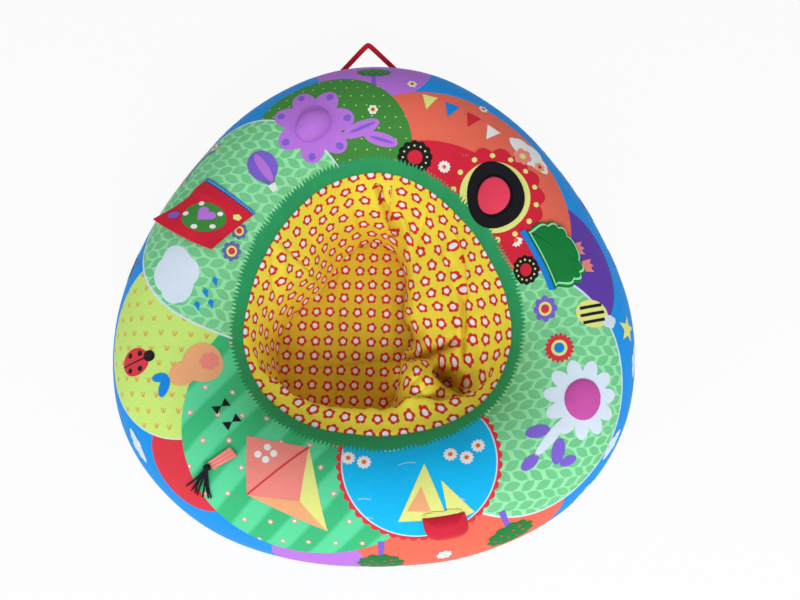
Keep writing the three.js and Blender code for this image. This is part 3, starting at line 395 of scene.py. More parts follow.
def piece(name, part, material, body="nest", merge=True):
    """A mesh at the origin from a part's points, moved from the ring's middle to the frame's and made metres."""
    mesh = bpy.data.meshes.new(name)
    points = (part["points"] + np.array(FRAME_SHIFT)) * MILLIMETRE
    faces = part["faces"]
    mesh.vertices.add(len(points))
    mesh.vertices.foreach_set("co", points.astype(np.float32).ravel())
    mesh.loops.add(faces.size)
    mesh.loops.foreach_set("vertex_index", faces.astype(np.int32).ravel())
    mesh.polygons.add(len(faces))
    mesh.polygons.foreach_set("loop_start", np.arange(0, faces.size, 4, dtype=np.int32))
    for key, values in part["maps"].items():
        if values.shape[1] == 2:
            mesh.uv_layers.new(name=key).data.foreach_set("uv", values.astype(np.float32).ravel())
        else:
            ink = mesh.color_attributes.new(key, "FLOAT_COLOR", "CORNER")
            ink.data.foreach_set("color", values.astype(np.float32).ravel())
    mesh.update(calc_edges=True)
    mesh.validate()
    if merge:
        work = bmesh.new()
        work.from_mesh(mesh)
        bmesh.ops.remove_doubles(work, verts=work.verts, dist=MERGE_DISTANCE)
        bmesh.ops.recalc_face_normals(work, faces=work.faces)
        work.to_mesh(mesh)
        work.free()
    mesh.shade_smooth()
    obj = bpy.data.objects.new(name, mesh)
    bpy.context.scene.collection.objects.link(obj)
    mesh.materials.append(material)
    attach(obj, body)
    return obj


def thicken(obj):
    """Gives an open cloth its thickness, on its inner side."""
    wall = obj.modifiers.new("Cloth thickness", "SOLIDIFY")
    wall.thickness = CLOTH * MILLIMETRE
    wall.offset = -1.0
    return obj


def smoothed(obj):
    finer = obj.modifiers.new("Softened", "SUBSURF")
    finer.levels = finer.render_levels = 1


# ---------------------------------------------------------------- node trees

class Wire:
    """A number on its way through a node tree. Sums and products of wires are Math nodes."""

    def __init__(self, tree, socket):
        self.tree, self.socket = tree, socket

    def step(self, operation, *others, clamp=False):
        node = self.tree.nodes.new("ShaderNodeMath")
        node.operation, node.use_clamp = operation, clamp
        for place, value in zip(node.inputs, (self, *others)):
            feed(self.tree, value, place)
        return Wire(self.tree, node.outputs[0])

    def __add__(self, other):
        return self.step("ADD", other)

    def __sub__(self, other):
        return self.step("SUBTRACT", other)

    def __mul__(self, other):
        return self.step("MULTIPLY", other)

    def __truediv__(self, other):
        return self.step("DIVIDE", other)

    def sine(self):
        return self.step("SINE")

    def cosine(self):
        return self.step("COSINE")

    def size(self):
        return self.step("ABSOLUTE")

    def below(self, soft=0.0004):
        """1 where the number is below nought and 0 above, with an edge of some softness."""
        return self.step("MULTIPLY_ADD", -0.5 / soft, 0.5, clamp=True)


def feed(tree, value, place):
    if isinstance(value, Wire):
        tree.links.new(value.socket, place)
    elif isinstance(value, bpy.types.NodeSocket):
        tree.links.new(value, place)
    else:
        place.default_value = value


def node(tree, kind, inputs=None, **settings):
    made = tree.nodes.new(kind)
    for key, value in settings.items():
        setattr(made, key, value)
    for key, value in (inputs or {}).items():
        feed(tree, value, made.inputs[key])
    return made


def blend_colour(tree, share, a, b, how="MIX"):
    mix = node(tree, "ShaderNodeMix", data_type="RGBA", blend_type=how)
    for place, value in zip((0, 6, 7), (share, a, b)):
        feed(tree, value, mix.inputs[place])
    return mix.outputs[2]


def axes(tree, vector):
    split = node(tree, "ShaderNodeSeparateXYZ", {"Vector": vector})
    return [Wire(tree, split.outputs[i]) for i in (0, 1, 2)]


def distance(x, y):
    return (x * x + y * y).step("SQRT")


def noise(tree, vector, scale, detail=2.0, rough=0.5):
    made = node(tree, "ShaderNodeTexNoise", {"Vector": vector, "Scale": scale, "Detail": detail, "Roughness": rough})
    return Wire(tree, made.outputs["Fac"])


def chance(tree, x, y):
    """A steady random number for each cell of a lattice."""
    joined = node(tree, "ShaderNodeCombineXYZ", {"X": x, "Y": y}).outputs[0]
    return Wire(tree, node(tree, "ShaderNodeTexWhiteNoise", {"Vector": joined}, noise_dimensions="2D").outputs[0])


def brick_cell(tree, x, y, wide, tall):
    """A lattice whose every other row is shifted by half: the place from the cell's middle in shares of the cell, a
    random number from -0.5 to 0.5 for the cell, and 0 or 1 by its row."""
    row = (y / tall).step("FLOOR")
    odd = row.step("MODULO", 2.0).size()
    shifted = x / wide + odd * 0.5
    column = shifted.step("FLOOR")
    return shifted - column - 0.5, y / tall - row - 0.5, chance(tree, column, row) - 0.5, odd


def group(name, inputs, outputs):
    """A new node group with its named sockets, its input wires, and a function that feeds its outputs."""
    tree = bpy.data.node_groups.new(name, "ShaderNodeTree")
    for label, kind, value in inputs:
        socket = tree.interface.new_socket(label, in_out="INPUT", socket_type=kind)
        if value is not None:
            socket.default_value = value
    for label, kind in outputs:
        tree.interface.new_socket(label, in_out="OUTPUT", socket_type=kind)
    start = tree.nodes.new("NodeGroupInput")
    end = tree.nodes.new("NodeGroupOutput")
    return tree, [Wire(tree, start.outputs[label]) for label, _, _ in inputs], end


def placed(tree, name, **values):
    made = node(tree, "ShaderNodeGroup", node_tree=bpy.data.node_groups[name])
    for key, value in values.items():
        feed(tree, value, made.inputs[key])
    return made


NUMBER, VECTOR = "NodeSocketFloat", "NodeSocketVector"


def weave_group():
    """Plain weave: two crossing sets of rounded threads, each over the other in turn, with uneven yarn."""
    tree, (vector, pitch), end = group(
        "Woven Threads", [("Vector", VECTOR, None), ("Pitch", NUMBER, 0.0009)], [("Height", NUMBER), ("Tone", NUMBER)])
    x, y, z = axes(tree, vector.socket)
    across, along = (x + z) / pitch * np.pi, (y + z * 0.7) / pitch * np.pi
    height = across.sine() * along.sine() * 0.5 + (across * 2).cosine() * 0.25 + (along * 2).cosine() * 0.25
    slub = noise(tree, vector.socket, 160.0, 3.0, 0.6)
    feed(tree, height * 0.5 + slub, end.inputs["Height"])
    # Tone: painted shade where the threads dip, and the uneven yarn's own tone
    feed(tree, height * 0.035 + 1.0 + (slub - 0.5) * 0.1, end.inputs["Tone"])


def wear_group():
    """Handling wear: broad faded patches and faint soil, as a tone near 1, and a soft buckling height."""
    tree, (vector, strength), end = group(
        "Soft Wear", [("Vector", VECTOR, None), ("Strength", NUMBER, 1.0)], [("Tone", NUMBER), ("Buckle", NUMBER)])
    broad = noise(tree, vector.socket, 9.0, 3.0, 0.55)
    fine = noise(tree, vector.socket, 60.0, 2.0, 0.5)
    feed(tree, ((broad - 0.5) * 0.16 + (fine - 0.5) * 0.05) * strength + 1.0, end.inputs["Tone"])
    feed(tree, noise(tree, vector.socket, 26.0, 2.0, 0.5) + fine * 0.25, end.inputs["Buckle"])


def spots_group():
    """Round spots on a shifted lattice: the distance to the nearest, as a disc and a ring round it."""
    tree, (x, y, pitch, radius, ring), end = group(
        "Round Spots",
        [("X", NUMBER, 0.0), ("Y", NUMBER, 0.0), ("Pitch", NUMBER, 0.02), ("Radius", NUMBER, 0.0015),
         ("Ring", NUMBER, 0.001)],
        [("Disc", NUMBER), ("Ring", NUMBER)])
    u, v, jog, _ = brick_cell(tree, x, y, pitch, pitch)
    off = distance((u + jog * 0.16) * pitch, (v - jog * 0.12) * pitch)
    feed(tree, (off - radius).below(), end.inputs["Disc"])
    feed(tree, ((off - radius - ring * 0.5).size() - ring * 0.5).below(), end.inputs["Ring"])


LEAF_ROW, LEAF_HALF_LENGTH, LEAF_HALF_WIDTH = 0.62, 0.54, 0.275  # of the print's leaves, as shares of their pitch


def leaf_group():
    """Pointed leaves in slanting pairs: in each cell of a lattice the leaf is where the offset from its spine is less
    than its half width times one minus the squared place along it."""
    tree, (x, y, pitch), end = group(
        "Printed Leaves", [("X", NUMBER, 0.0), ("Y", NUMBER, 0.0), ("Pitch", NUMBER, 0.026)],
        [("Leaf", NUMBER), ("Vein", NUMBER)])
    u, v, jog, odd = brick_cell(tree, x, y, pitch, pitch * LEAF_ROW)
    v = v * LEAF_ROW
    tilt = odd - 0.5 + jog * 0.5
    along = u * tilt.cosine() + v * tilt.sine()
    off = v * tilt.cosine() - u * tilt.sine()
    spine = along / LEAF_HALF_LENGTH
    edge = off.size() - (spine * spine * -1.0 + 1.0) * LEAF_HALF_WIDTH
    feed(tree, (edge * pitch).below(0.0006), end.inputs["Leaf"])
    feed(tree, ((off.size() - 0.012) * pitch).below(0.0006), end.inputs["Vein"])


def tufts_group():
    """Small tufts of three strokes: in each cell of a shifted lattice, three short lines that fan out."""
    tree, (x, y, pitch), end = group(
        "Printed Tufts", [("X", NUMBER, 0.0), ("Y", NUMBER, 0.0), ("Pitch", NUMBER, 0.024)], [("Mask", NUMBER)])
    u, v, jog, _ = brick_cell(tree, x, y, pitch, pitch)
    u, v = u + jog * 0.15, v + jog * 0.12
    fan = (u.size() - (v + 0.17) * 0.4 - 0.03).size() - 0.028
    stem = u.size() - 0.022
    strokes = fan.step("MINIMUM", stem)
    feed(tree, (strokes.step("MAXIMUM", v.size() - 0.15) * pitch).below(0.0005), end.inputs["Mask"])


PETAL_SWING, PETAL_RADIUS, HEART_RADIUS = 0.095, 0.283, 0.175  # of the print's flowers, as shares of their pitch


def flower_group():
    """The seat well's print. The cloth is gathered, so each row of flowers round the well has fewer than the one above
    it. Five round petals swing a flower's edge in and out, and a round heart lies inside. Each is turned at random."""
    tree, (turns, depth, lattice, pitch), end = group(
        "Printed Flowers",
        [("Across", NUMBER, 0.0), ("Depth", NUMBER, 0.0), ("Fewer", NUMBER, 0.0), ("Pitch", NUMBER, 0.0295)],
        [("Petal", NUMBER), ("Heart", NUMBER)])
    row = (depth / pitch).step("FLOOR")
    count = (lattice * row * -1.0 + FLOWERS_ROUND).step("ROUND")
    across = turns * count
    column = across.step("FLOOR")
    jog = chance(tree, column, row) - 0.5
    u, v = across - column - 0.5 + jog * 0.14, depth / pitch - row - 0.5 - jog * 0.1
    around = v.step("ARCTAN2", u) + jog * (2 * FULL_TURN)
    off = distance(u, v)
    petal = (around * 2.5).cosine().size() * PETAL_SWING + PETAL_RADIUS
    feed(tree, ((off - petal) * pitch).below(0.0005), end.inputs["Petal"])
    feed(tree, ((off - HEART_RADIUS) * pitch).below(0.0005), end.inputs["Heart"])


def grain_group():
    """Moulded plastic: a fine leather-like grain as a height, and a roughness that drifts a little."""
    tree, (vector, scale), end = group(
        "Moulded Grain", [("Vector", VECTOR, None), ("Scale", NUMBER, 900.0)], [("Height", NUMBER), ("Drift", NUMBER)])
    cells = node(tree, "ShaderNodeTexVoronoi", {"Vector": vector.socket, "Scale": scale.socket})
    feed(tree, cells.outputs["Distance"], end.inputs["Height"])
    feed(tree, noise(tree, vector.socket, 45.0, 3.0), end.inputs["Drift"])


THREAD_HEIGHT = 0.00022
SOFT_SURFACE = {"Sheen_Weight": 0.02, "Sheen_Roughness": 0.4, "Specular_IOR_Level": 0.1}


def new_material(name, roughness, **inputs):
    """A material with its shader, and the tree's Object coordinates."""
    made = bpy.data.materials.new(name)
    made.use_nodes = True
    tree = made.node_tree
    shader = tree.nodes["Principled BSDF"]
    shader.inputs["Roughness"].default_value = roughness
    for key, value in inputs.items():
        shader.inputs[key.replace("_", " ")].default_value = value
    place = node(tree, "ShaderNodeTexCoord").outputs["Object"]
    return made, tree, shader, place


def finish_cloth(tree, shader, place, colour, weave_on=None, rough=0.7, buckle=0.0006):
    """Lays weave, wear and buckling over a colour and ties them to the shader."""
    weave = placed(tree, "Woven Threads", Vector=weave_on or place, Pitch=sizes().thread)
    wear = placed(tree, "Soft Wear", Vector=place)
    # The weave's tone carries painted shade between its threads; the wear's tone is faded patches and soil
    tone = Wire(tree, weave.outputs["Tone"]) * Wire(tree, wear.outputs["Tone"])
    grey = node(tree, "ShaderNodeCombineColor", {"Red": tone, "Green": tone, "Blue": tone}).outputs[0]
    feed(tree, blend_colour(tree, 1.0, colour, grey, "MULTIPLY"), shader.inputs["Base Color"])
    feed(tree, (Wire(tree, wear.outputs["Tone"]) - 1.0) * 0.8 + rough, shader.inputs["Roughness"])
    height = Wire(tree, weave.outputs["Height"]) * THREAD_HEIGHT + Wire(tree, wear.outputs["Buckle"]) * buckle
    relief = node(tree, "ShaderNodeBump", {"Height": height, "Strength": 1.0, "Distance": 1.0})
    feed(tree, relief.outputs["Normal"], shader.inputs["Normal"])


def cloth(name, key, rough, buckle):
    """Plain dyed cloth, drifting a little towards a deeper tone of its dye."""
    made, tree, shader, place = new_material(name, rough, **SOFT_SURFACE)
    drift = noise(tree, place, 22.0, 3.0)
    deeper = tuple(c * 0.82 for c in dye(key)[:3]) + (1.0,)
    colour = blend_colour(tree, (drift - 0.35).step("MULTIPLY", 0.9, clamp=True), dye(key), deeper)
    finish_cloth(tree, shader, place, colour, rough=rough, buckle=buckle)
    return made


def moulded(name, key, rough, metal, bump):
    """Moulded or cast parts: fine grain, drifting gloss, and a tone that pales where it is handled."""
    made, tree, shader, place = new_material(name, rough, Metallic=metal)
    grain = placed(tree, "Moulded Grain", Vector=place)
    drift = Wire(tree, grain.outputs["Drift"])
    pale = tuple(min(1.0, c * 1.12 + 0.02) for c in dye(key)[:3]) + (1.0,)
    feed(tree, blend_colour(tree, drift, dye(key), pale), shader.inputs["Base Color"])
    feed(tree, drift * 0.2 + (rough - 0.1), shader.inputs["Roughness"])
    relief = node(tree, "ShaderNodeBump", {
        "Height": Wire(tree, grain.outputs["Height"]) * bump, "Strength": 1.0, "Distance": 1.0})
    feed(tree, relief.outputs["Normal"], shader.inputs["Normal"])
    return made


def uv(tree, name):
    return node(tree, "ShaderNodeUVMap", uv_map=name).outputs["UV"]


# The cover's printed fields, laid one over the other: dye, middle and half sizes on the flat plan, pattern, edge line
FIELDS = (
    ("lilac", -10, 455, 110, 110, None, 0),
    ("lilac", -80, -440, 95, 95, None, 0),
    ("violet", 275, 39, 132, 132, None, 0),
    ("coral", 98, 142, 232, 232, "blotches", 0),
    ("meadow_green", -80, 268, 139, 139, "spots", 0),
    ("crescent_red", -265, -252, 90, 90, None, 0),
    ("coral", 132, -330, 178, 178, "blotches", 0),
    ("lime", -310, -78, 149, 149, "tufts", 1.6),
    ("mint", -93, -198, 206, 216, "stripes", 0),
    ("leaf_green", -226, 132, 188, 188, "leaves", 3.2),
    ("leaf_green", 224, -150, 186, 202, "leaves", 3.2),
)
POND = (66, -256, 120)
POND_SCALLOP, POND_SCALLOPS = 5.0, 48
POND_HEM, POND_EDGE = 0.003, 0.002  # in metres, like the prints' sizes below
MINT_STRIPE, STRIPE_SLANT = 0.062, (0.76, 0.65)
SPOT_PITCH, SPOT_RADIUS = 0.0195, 0.0012
TUFT_PITCH = 0.0245
DOT_PITCH, DOT_RADIUS, DOT_RING = 0.041, 0.0022, 0.0018
GRASS_PITCH = 0.0062


def field_pattern(tree, kind, colour, x, y, place):
    """The colour of a field with its print: leaves, spots, tufts, stripes with ringed dots, or drifting blotches."""
    if kind == "leaves":
        leaves = placed(tree, "Printed Leaves", X=x, Y=y, Pitch=sizes().leaf_length)
        share = (noise(tree, place, 9.0, 2.0) - 0.45).step("MULTIPLY", 0.8, clamp=True)
        shade = blend_colour(tree, share, dye("leaf_shade"), dye("grass"))
        share = Wire(tree, leaves.outputs["Leaf"]) * (Wire(tree, leaves.outputs["Vein"]) * -0.12 + 0.92)
        return blend_colour(tree, share, colour, shade)
    if kind == "spots":
        spots = placed(tree, "Round Spots", X=x, Y=y, Pitch=SPOT_PITCH, Radius=SPOT_RADIUS)
        return blend_colour(tree, spots.outputs["Disc"], colour, dye("sail_yellow"))
    if kind == "tufts":
        tufts = placed(tree, "Printed Tufts", X=x, Y=y, Pitch=TUFT_PITCH)
        return blend_colour(tree, tufts.outputs["Mask"], colour, dye("orange"))
    if kind == "stripes":
        stripe = ((x * STRIPE_SLANT[0] - y * STRIPE_SLANT[1]) / MINT_STRIPE * FULL_TURN).sine() * -MINT_STRIPE / 6
        colour = blend_colour(tree, stripe.below(0.0035), colour, dye("mint_light"))
        dots = placed(tree, "Round Spots", X=x, Y=y, Pitch=DOT_PITCH, Radius=DOT_RADIUS, Ring=DOT_RING)
        colour = blend_colour(tree, dots.outputs["Ring"], colour, dye("salmon"))
        return blend_colour(tree, dots.outputs["Disc"], colour, dye("white"))
    if kind == "blotches":
        soft = (noise(tree, place, 16.0, 3.0) - 0.52).step("MULTIPLY", 1.5, clamp=True)
        return blend_colour(tree, soft, colour, dye("orange"))
    return colour


def grass_over(tree, colour, plan, u, v):
    """Lays the band of grass round the opening over a colour: it ends in blades, a sawtooth of uneven height."""
    blades = (u / GRASS_PITCH).step("PINGPONG", 0.5) * 2.0
    uneven = noise(tree, uv(tree, "Band"), 75.0, 1.0) * 1.5 + 0.2
    tooth = blades * uneven * sizes().grass_tooth
    turf = blend_colour(tree, noise(tree, plan, 12.0) * 0.35, dye("grass"), dye("mint"))
    return blend_colour(tree, (v + tooth - GRASS_WIDTH * MILLIMETRE).below(), colour, turf)


def cover_material():
    """The ring's printed cloth. Each field is a disc of the flat plan: its mask is where the distance from its middle,
    each axis divided by its half size, stays below 1."""
    made, tree, shader, place = new_material("printed cover cloth", 0.62, **SOFT_SURFACE)
    plan = uv(tree, "Plan")
    x, y, _ = axes(tree, plan)
    u, v, _ = axes(tree, uv(tree, "Band"))
    colour = dye("band_blue")
    for key, cx, cy, rx, ry, kind, line in FIELDS:
        off = distance((x - cx * MILLIMETRE) / (rx * MILLIMETRE), (y - cy * MILLIMETRE) / (ry * MILLIMETRE))
        edge = (off - 1.0) * (rx * MILLIMETRE)
        if line:
            rim = blend_colour(tree, edge.below(), colour, dye("sky_white"))
            edge, colour = edge + line * MILLIMETRE, rim
        colour = blend_colour(tree, edge.below(), colour, field_pattern(tree, kind, dye(key), x, y, place))
    cx, cy, radius = (value * MILLIMETRE for value in POND)
    px, py = x - cx, y - cy
    off, around = distance(px, py), py.step("ARCTAN2", px)
    scallop = (around * (POND_SCALLOPS / 2)).sine().size() * (POND_SCALLOP * MILLIMETRE)
    colour = blend_colour(tree, (off - scallop - (radius + POND_HEM)).below(), colour, dye("crescent_red"))
    colour = blend_colour(tree, (off - radius).below(), colour, dye("sky_white"))
    lines = (y + (x * 95.0).sine() * 0.0035 + noise(tree, plan, 6.0) * 0.02).step("PINGPONG", 0.014)
    broken = (noise(tree, plan, 17.0, 1.0) - 0.6).step("GREATER_THAN", 0.0)
    ripple = (lines - 0.0006).below(0.0005) * broken * 0.6
    deep = blend_colour(tree, noise(tree, plan, 7.0) * 0.4, dye("pond_blue"), dye("band_blue"))
    water = blend_colour(tree, ripple, deep, dye("sky_white"))
    colour = blend_colour(tree, (off - (radius - POND_EDGE)).below(), colour, water)
    colour = grass_over(tree, colour, plan, u, v)
    finish_cloth(tree, shader, place, colour, weave_on=plan, rough=0.62, buckle=0.0008)
    return made


def print_material():
    """Ink of the printed pictures: the colour is the piece's own Ink attribute, on the same cloth as the cover."""
    made, tree, shader, place = new_material("printed pictures", 0.6, **SOFT_SURFACE)
    ink = node(tree, "ShaderNodeVertexColor", layer_name="Ink").outputs["Color"]
    u, v, _ = axes(tree, uv(tree, "Band"))
    ink = grass_over(tree, ink, uv(tree, "Cloth"), u, v)
    finish_cloth(tree, shader, place, ink, weave_on=uv(tree, "Cloth"), rough=0.6, buckle=0.0008)
    return made


PAINTED_SHADE_SHARES = (0.8, 0.55, 0.4)  # of the yellow cotton's colour, as painted shade where it lies deep in the well


def liner_material():
    """The seat well's cotton: yellow, deeper low down, and printed with red flowers with white hearts."""
    made, tree, shader, place = new_material("seat well cotton", 0.85, **SOFT_SURFACE)
    flat = uv(tree, "Cloth")
    across, depth, _ = axes(tree, uv(tree, "Rows"))
    fewer, _, _ = axes(tree, uv(tree, "Gather"))
    flowers = placed(tree, "Printed Flowers", Across=across, Depth=depth, Fewer=fewer, Pitch=sizes().flower_pitch)
    height = axes(tree, place)[2]
    # Painted shade: the yellow darkens towards amber lower down in the well, by the height, with a little noise
    deep = (height * -8.0 + 1.05).step("MULTIPLY", 0.95, clamp=True) + noise(tree, place, 12.0, 3.0) * 0.2
    painted_shade_yellow = tuple(c * s for c, s in zip(dye("liner_yellow")[:3], PAINTED_SHADE_SHARES)) + (1.0,)
    ground = blend_colour(tree, deep.step("MULTIPLY", 0.7, clamp=True), dye("liner_yellow"), painted_shade_yellow)
    colour = blend_colour(tree, flowers.outputs["Petal"], ground, dye("petal_red"))
    colour = blend_colour(tree, flowers.outputs["Heart"], colour, dye("white"))
    finish_cloth(tree, shader, place, colour, weave_on=flat, rough=0.85, buckle=0.0022)
    return made


MATERIALS = {}


def material(name):
    return MATERIALS[name]


# ---------------------------------------------------------------- cover, base and air ring

COVER_TURNS, COVER_ROWS = 440, 104
INNER_SHARE = 0.65  # radius of the opening's edge as a share of the centre line's


def cover_band(turn, lean):
    """Lengths on the cover along the opening's edge and away from it, in metres."""
    along = turn * RING_RADIUS * INNER_SHARE
    return np.stack([along, (opening_lean(turn) - lean) * MEAN_HALF], -1) * MILLIMETRE


def build_ring_cover():
    """The printed cover: a tube's skin over direction and lean, from the opening's seam to the outer seam."""
    turn, share = flat_grid((0, FULL_TURN), (0, 1), (COVER_TURNS + 1, COVER_ROWS + 1))
    start = opening_lean(turn)
    lean = between(start, rad(OUTER_SEAM), share)
    plan = centre_radius(turn) + MEAN_HALF * (np.pi / 2 - lean)
    maps = {
        "Plan": np.stack([plan * np.cos(turn), plan * np.sin(turn)], -1) * MILLIMETRE,
        "Band": cover_band(turn, lean),
    }
    part = turned_over(sheet_grid(skin(turn, lean, cover_lift(turn, lean)), (True, False), maps))
    cover = thicken(piece("ring_cover", part, material("cover"), merge=False))
    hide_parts(*[f"cover_panel_{i:02d}" for i in range(1, 12)])


def panel_edge(turn):
    return centre_radius(turn) - (HALF_WIDTH * np.cos(rad(FOOT_LEAN)) + PANEL_RISE)


def build_base_cover():
    """The underside: the tube's skin from the outer seam under its foot, a rise, and a level panel that runs on
    straight lines to the zip's slot."""
    turn = round_steps(240) + rad(ZIP_START)
    seam = rad(OUTER_SEAM) - SEAM_GAP / HALF_WIDTH
    leans = np.linspace(seam, -np.pi - rad(FOOT_LEAN), 22)
    under = skin(turn[:, None], leans[None, :])
    edge = panel_edge(turn)
    # The slot's far side is matched with the wide part of the ring's directions, and its near side with the rest
    swept = np.degrees(turn) - ZIP_START
    far = swept <= ZIP_SWEEP
    share = np.where(far, swept / ZIP_SWEEP, (swept - ZIP_SWEEP) / (360 - ZIP_SWEEP))
    along = np.where(far, 0.5 - share, share - 0.5) * ZIP_LENGTH
    hole = np.stack([along, ZIP_PLACE + np.where(far, 0.5, -0.5) * ZIP_SLOT], -1)
    rim = np.stack([edge * np.cos(turn), edge * np.sin(turn)], -1)
    share = np.linspace(0, 1, 20)[None, :, None]
    flat = between(rim[:, None, :], hole[:, None, :], share)
    panel = np.concatenate([flat, np.full((*flat.shape[:2], 1), PANEL_HEIGHT)], -1)
    points = np.concatenate([under, panel], 1)
    maps = {"Cloth": points[..., :2] * MILLIMETRE}
    base = thicken(piece("base_cloth_cover", turned_over(sheet_grid(points, (True, False), maps)), material("base"),
                         merge=False))
    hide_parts("base_cover")
    for side in ("front", "rear"):
        low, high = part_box(f"zip_tape_{side}")
        x = np.linspace(low.x, high.x, 60)[:, None] / MILLIMETRE + np.zeros((1, 5))
        y = np.linspace(low.y, high.y, 5)[None, :] / MILLIMETRE + np.zeros((60, 1)) - FRAME_SHIFT[1]
        levels = [between(low.z, high.z, k) / MILLIMETRE for k in (1, 0)]
        tape = piece(f"zip_tape_cloth_{side}", slab(*[np.stack([x, y, x * 0 + z], -1) for z in levels]),
                     material("nylon_tape"))
        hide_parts(f"zip_tape_{side}")


def build_air_ring():
    """The vinyl tube: the skin all round, inset by the cover and its slack, with a welded ridge inside and outside,
    and open where the valve's neck goes in: the two faces nearest the valve are left out."""
    turn, lean = flat_grid((0, FULL_TURN), (0, FULL_TURN), (241, 73))
    lean = lean + rad(2.5)  # so that the valve lies in a face's middle
    weld = WELD * (np.exp(-((lean - np.pi) / 0.06) ** 2) + np.exp(-(np.sin(lean / 2) / 0.03) ** 2))
    part = sheet_grid(skin(turn, lean, VINYL_INSET + weld), (True, True), {"Cloth": np.stack([turn, lean], -1)})
    middles = part["points"][part["faces"]].mean(1)
    away = np.linalg.norm(middles - skin(rad(VALVE_PLACE[0]), rad(VALVE_PLACE[1]), VINYL_INSET), axis=1)
    kept = away > np.sort(away)[1]
    part["faces"] = part["faces"][kept]
    part["maps"] = {name: values[np.repeat(kept, 4)] for name, values in part["maps"].items()}
    ring = piece("vinyl_air_ring", part, material("vinyl"), merge=False)
    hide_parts("air_ring")


# ---------------------------------------------------------------- seat well

def wall_point(turn, share, plain=False):
    """A point of the seat well's wall. The upper half drops from the opening's seam down the tube's inner side to a
    crease; the lower half sweeps in to the seat's edge, rising by its own fullness. Folds pull it inwards, the near
    rim bulges, and creases, a gathered lump and a pocket are laid over its height."""
    seam = opening_lean(turn) + 2 * SEAM_GAP / HALF_WIDTH
    low = rad(CREASE_LEAN)
    crease = skin(turn, low)
    crease_share = round_table(CREASE_SHARES, turn)
    crease_radius = np.hypot(crease[..., 0], crease[..., 1]) * crease_share
    down = 2 * (1 - share)
    upper = skin(turn, between(seam, low, np.minimum(down, 1)))
    limit = np.hypot(upper[..., 0], upper[..., 1])
    up = np.minimum(2 * share, 1)
    floor_radius = (centre_radius(turn) - HALF_WIDTH) * round_table(FLOOR_SHARES, turn)
    top = share >= 0.5
    radius = np.where(top, limit * between(1, crease_share, down * down), between(floor_radius, crease_radius, up))
    height = np.where(top, upper[..., 2], between(SEAT_HEIGHT, crease[..., 2], up ** round_table(FULLNESS, turn)))
    middle = np.sin(np.pi * np.clip(share, 0, 1))
    for direction, depth, width in FOLDS:
        radius = radius - depth * middle * np.exp(-((turn_from(turn, direction) / rad(width)) ** 2))
    direction, spread, at, width, depth = NEAR_BULGE
    near = 1 / (1 + np.exp((np.abs(turn_from(turn, direction)) - rad(spread + 16)) / rad(5)))
    radius = radius - depth * near * np.exp(-(((share - at) / width) ** 2))
    radius = radius - wall_waves(turn, share) * middle
    radius = np.where(top, np.minimum(radius, limit), radius)
    x, y = radius * np.cos(turn), radius * np.sin(turn)
    held = np.clip((1 - share) / 0.2, 0, 1) ** 0.7
    rise = 0.0 if plain else well_features(x, y) * np.minimum(held, 1)
    steep = np.clip((share - 0.4) / 0.25, 0, 1)
    pulled = np.minimum(radius - 0.8 * steep * rise, np.where(top, limit, 1e9))
    x, y = pulled * np.cos(turn), pulled * np.sin(turn)
    least = np.minimum(SEAT_HEIGHT + 1.5 * np.sin(np.pi * share), height)
    height = np.maximum(height + rise * (1 - 0.8 * steep), least)
    return np.stack([x, y, height], -1)


def turn_from(turn, direction):
    """Angle from a direction, the short way round."""
    return np.arctan2(np.sin(turn - rad(direction)), np.cos(turn - rad(direction)))


def line_distance(x, y, line):
    """Distance to a bent line, and the share of the way along it: the least over its straight parts."""
    line = np.array(line, float)
    nearest, place = np.full(x.shape, 1e9), np.zeros(x.shape)
    for k, (a, b) in enumerate(zip(line[:-1], line[1:])):
        step = b - a
        share = np.clip(((x - a[0]) * step[0] + (y - a[1]) * step[1]) / (step @ step), 0, 1)
        off = np.hypot(x - a[0] - share * step[0], y - a[1] - share * step[1])
        place = np.where(off < nearest, (k + share) / (len(line) - 1), place)
        nearest = np.minimum(nearest, off)
    return nearest, place


def well_features(x, y):
    """Height added to the seat well's cloth, seen from above: creases that taper at their ends, a gathered lump with
    rays from its tip, a pocket, and a net of small wrinkles with sharp backs."""
    rise = np.zeros(x.shape)
    for depth, width, line in CREASES:
        off, place = line_distance(x, y, line)
        taper = np.clip(np.sin(np.pi * np.clip(place, 0, 1)) * 2.2 + 0.15, 0, 1)
        rise -= depth * taper * np.exp(-((off / width) ** 2))
    cx, cy, wide, deep, tall = LUMP
    lump = np.exp(-((((x - cx) / wide) ** 2 + ((y - cy) / deep) ** 2) ** 2.2))
    ray = np.arctan2(y - LUMP_TIP[1], x - LUMP_TIP[0])
    rise += lump * (tall + 5 * np.abs(np.sin(11 * ray + 0.4 * np.sin(x / 9))) - 2.5)
    cx, cy, spread, deep = POCKET
    rise -= deep * np.exp(-(((x - cx) ** 2 + (y - cy) ** 2) / spread ** 2))
    for turn, pitch, drift, tall in WRINKLES:
        u, v = x * np.cos(turn) + y * np.sin(turn), y * np.cos(turn) - x * np.sin(turn)
        bent = u / pitch + 0.9 * np.sin(v / (1.7 * pitch) + drift) + 0.5 * np.sin((u + v) / (1.1 * pitch) - drift)
        patchy = 0.5 + 0.5 * np.sin(v / (2.3 * pitch) + 2 * drift) * np.sin(u / (3.1 * pitch) + drift)
        rise += tall * patchy * (1 - np.abs(np.sin(bent))) ** 5
    return rise


def wall_waves(turn, share):
    """Small gathers of the wall, in millimetres inwards: sines round the ring whose phase drifts with depth."""
    drift = 2.2 * np.sin(3 * share + 2 * turn)
    fine = 1.0 * np.sin(29 * turn + drift) + 0.6 * np.sin(43 * turn - 1.6 * drift)
    long = 3.0 * np.sin(11 * turn + 2.5 * share)
    return fine + long * (1 - share)


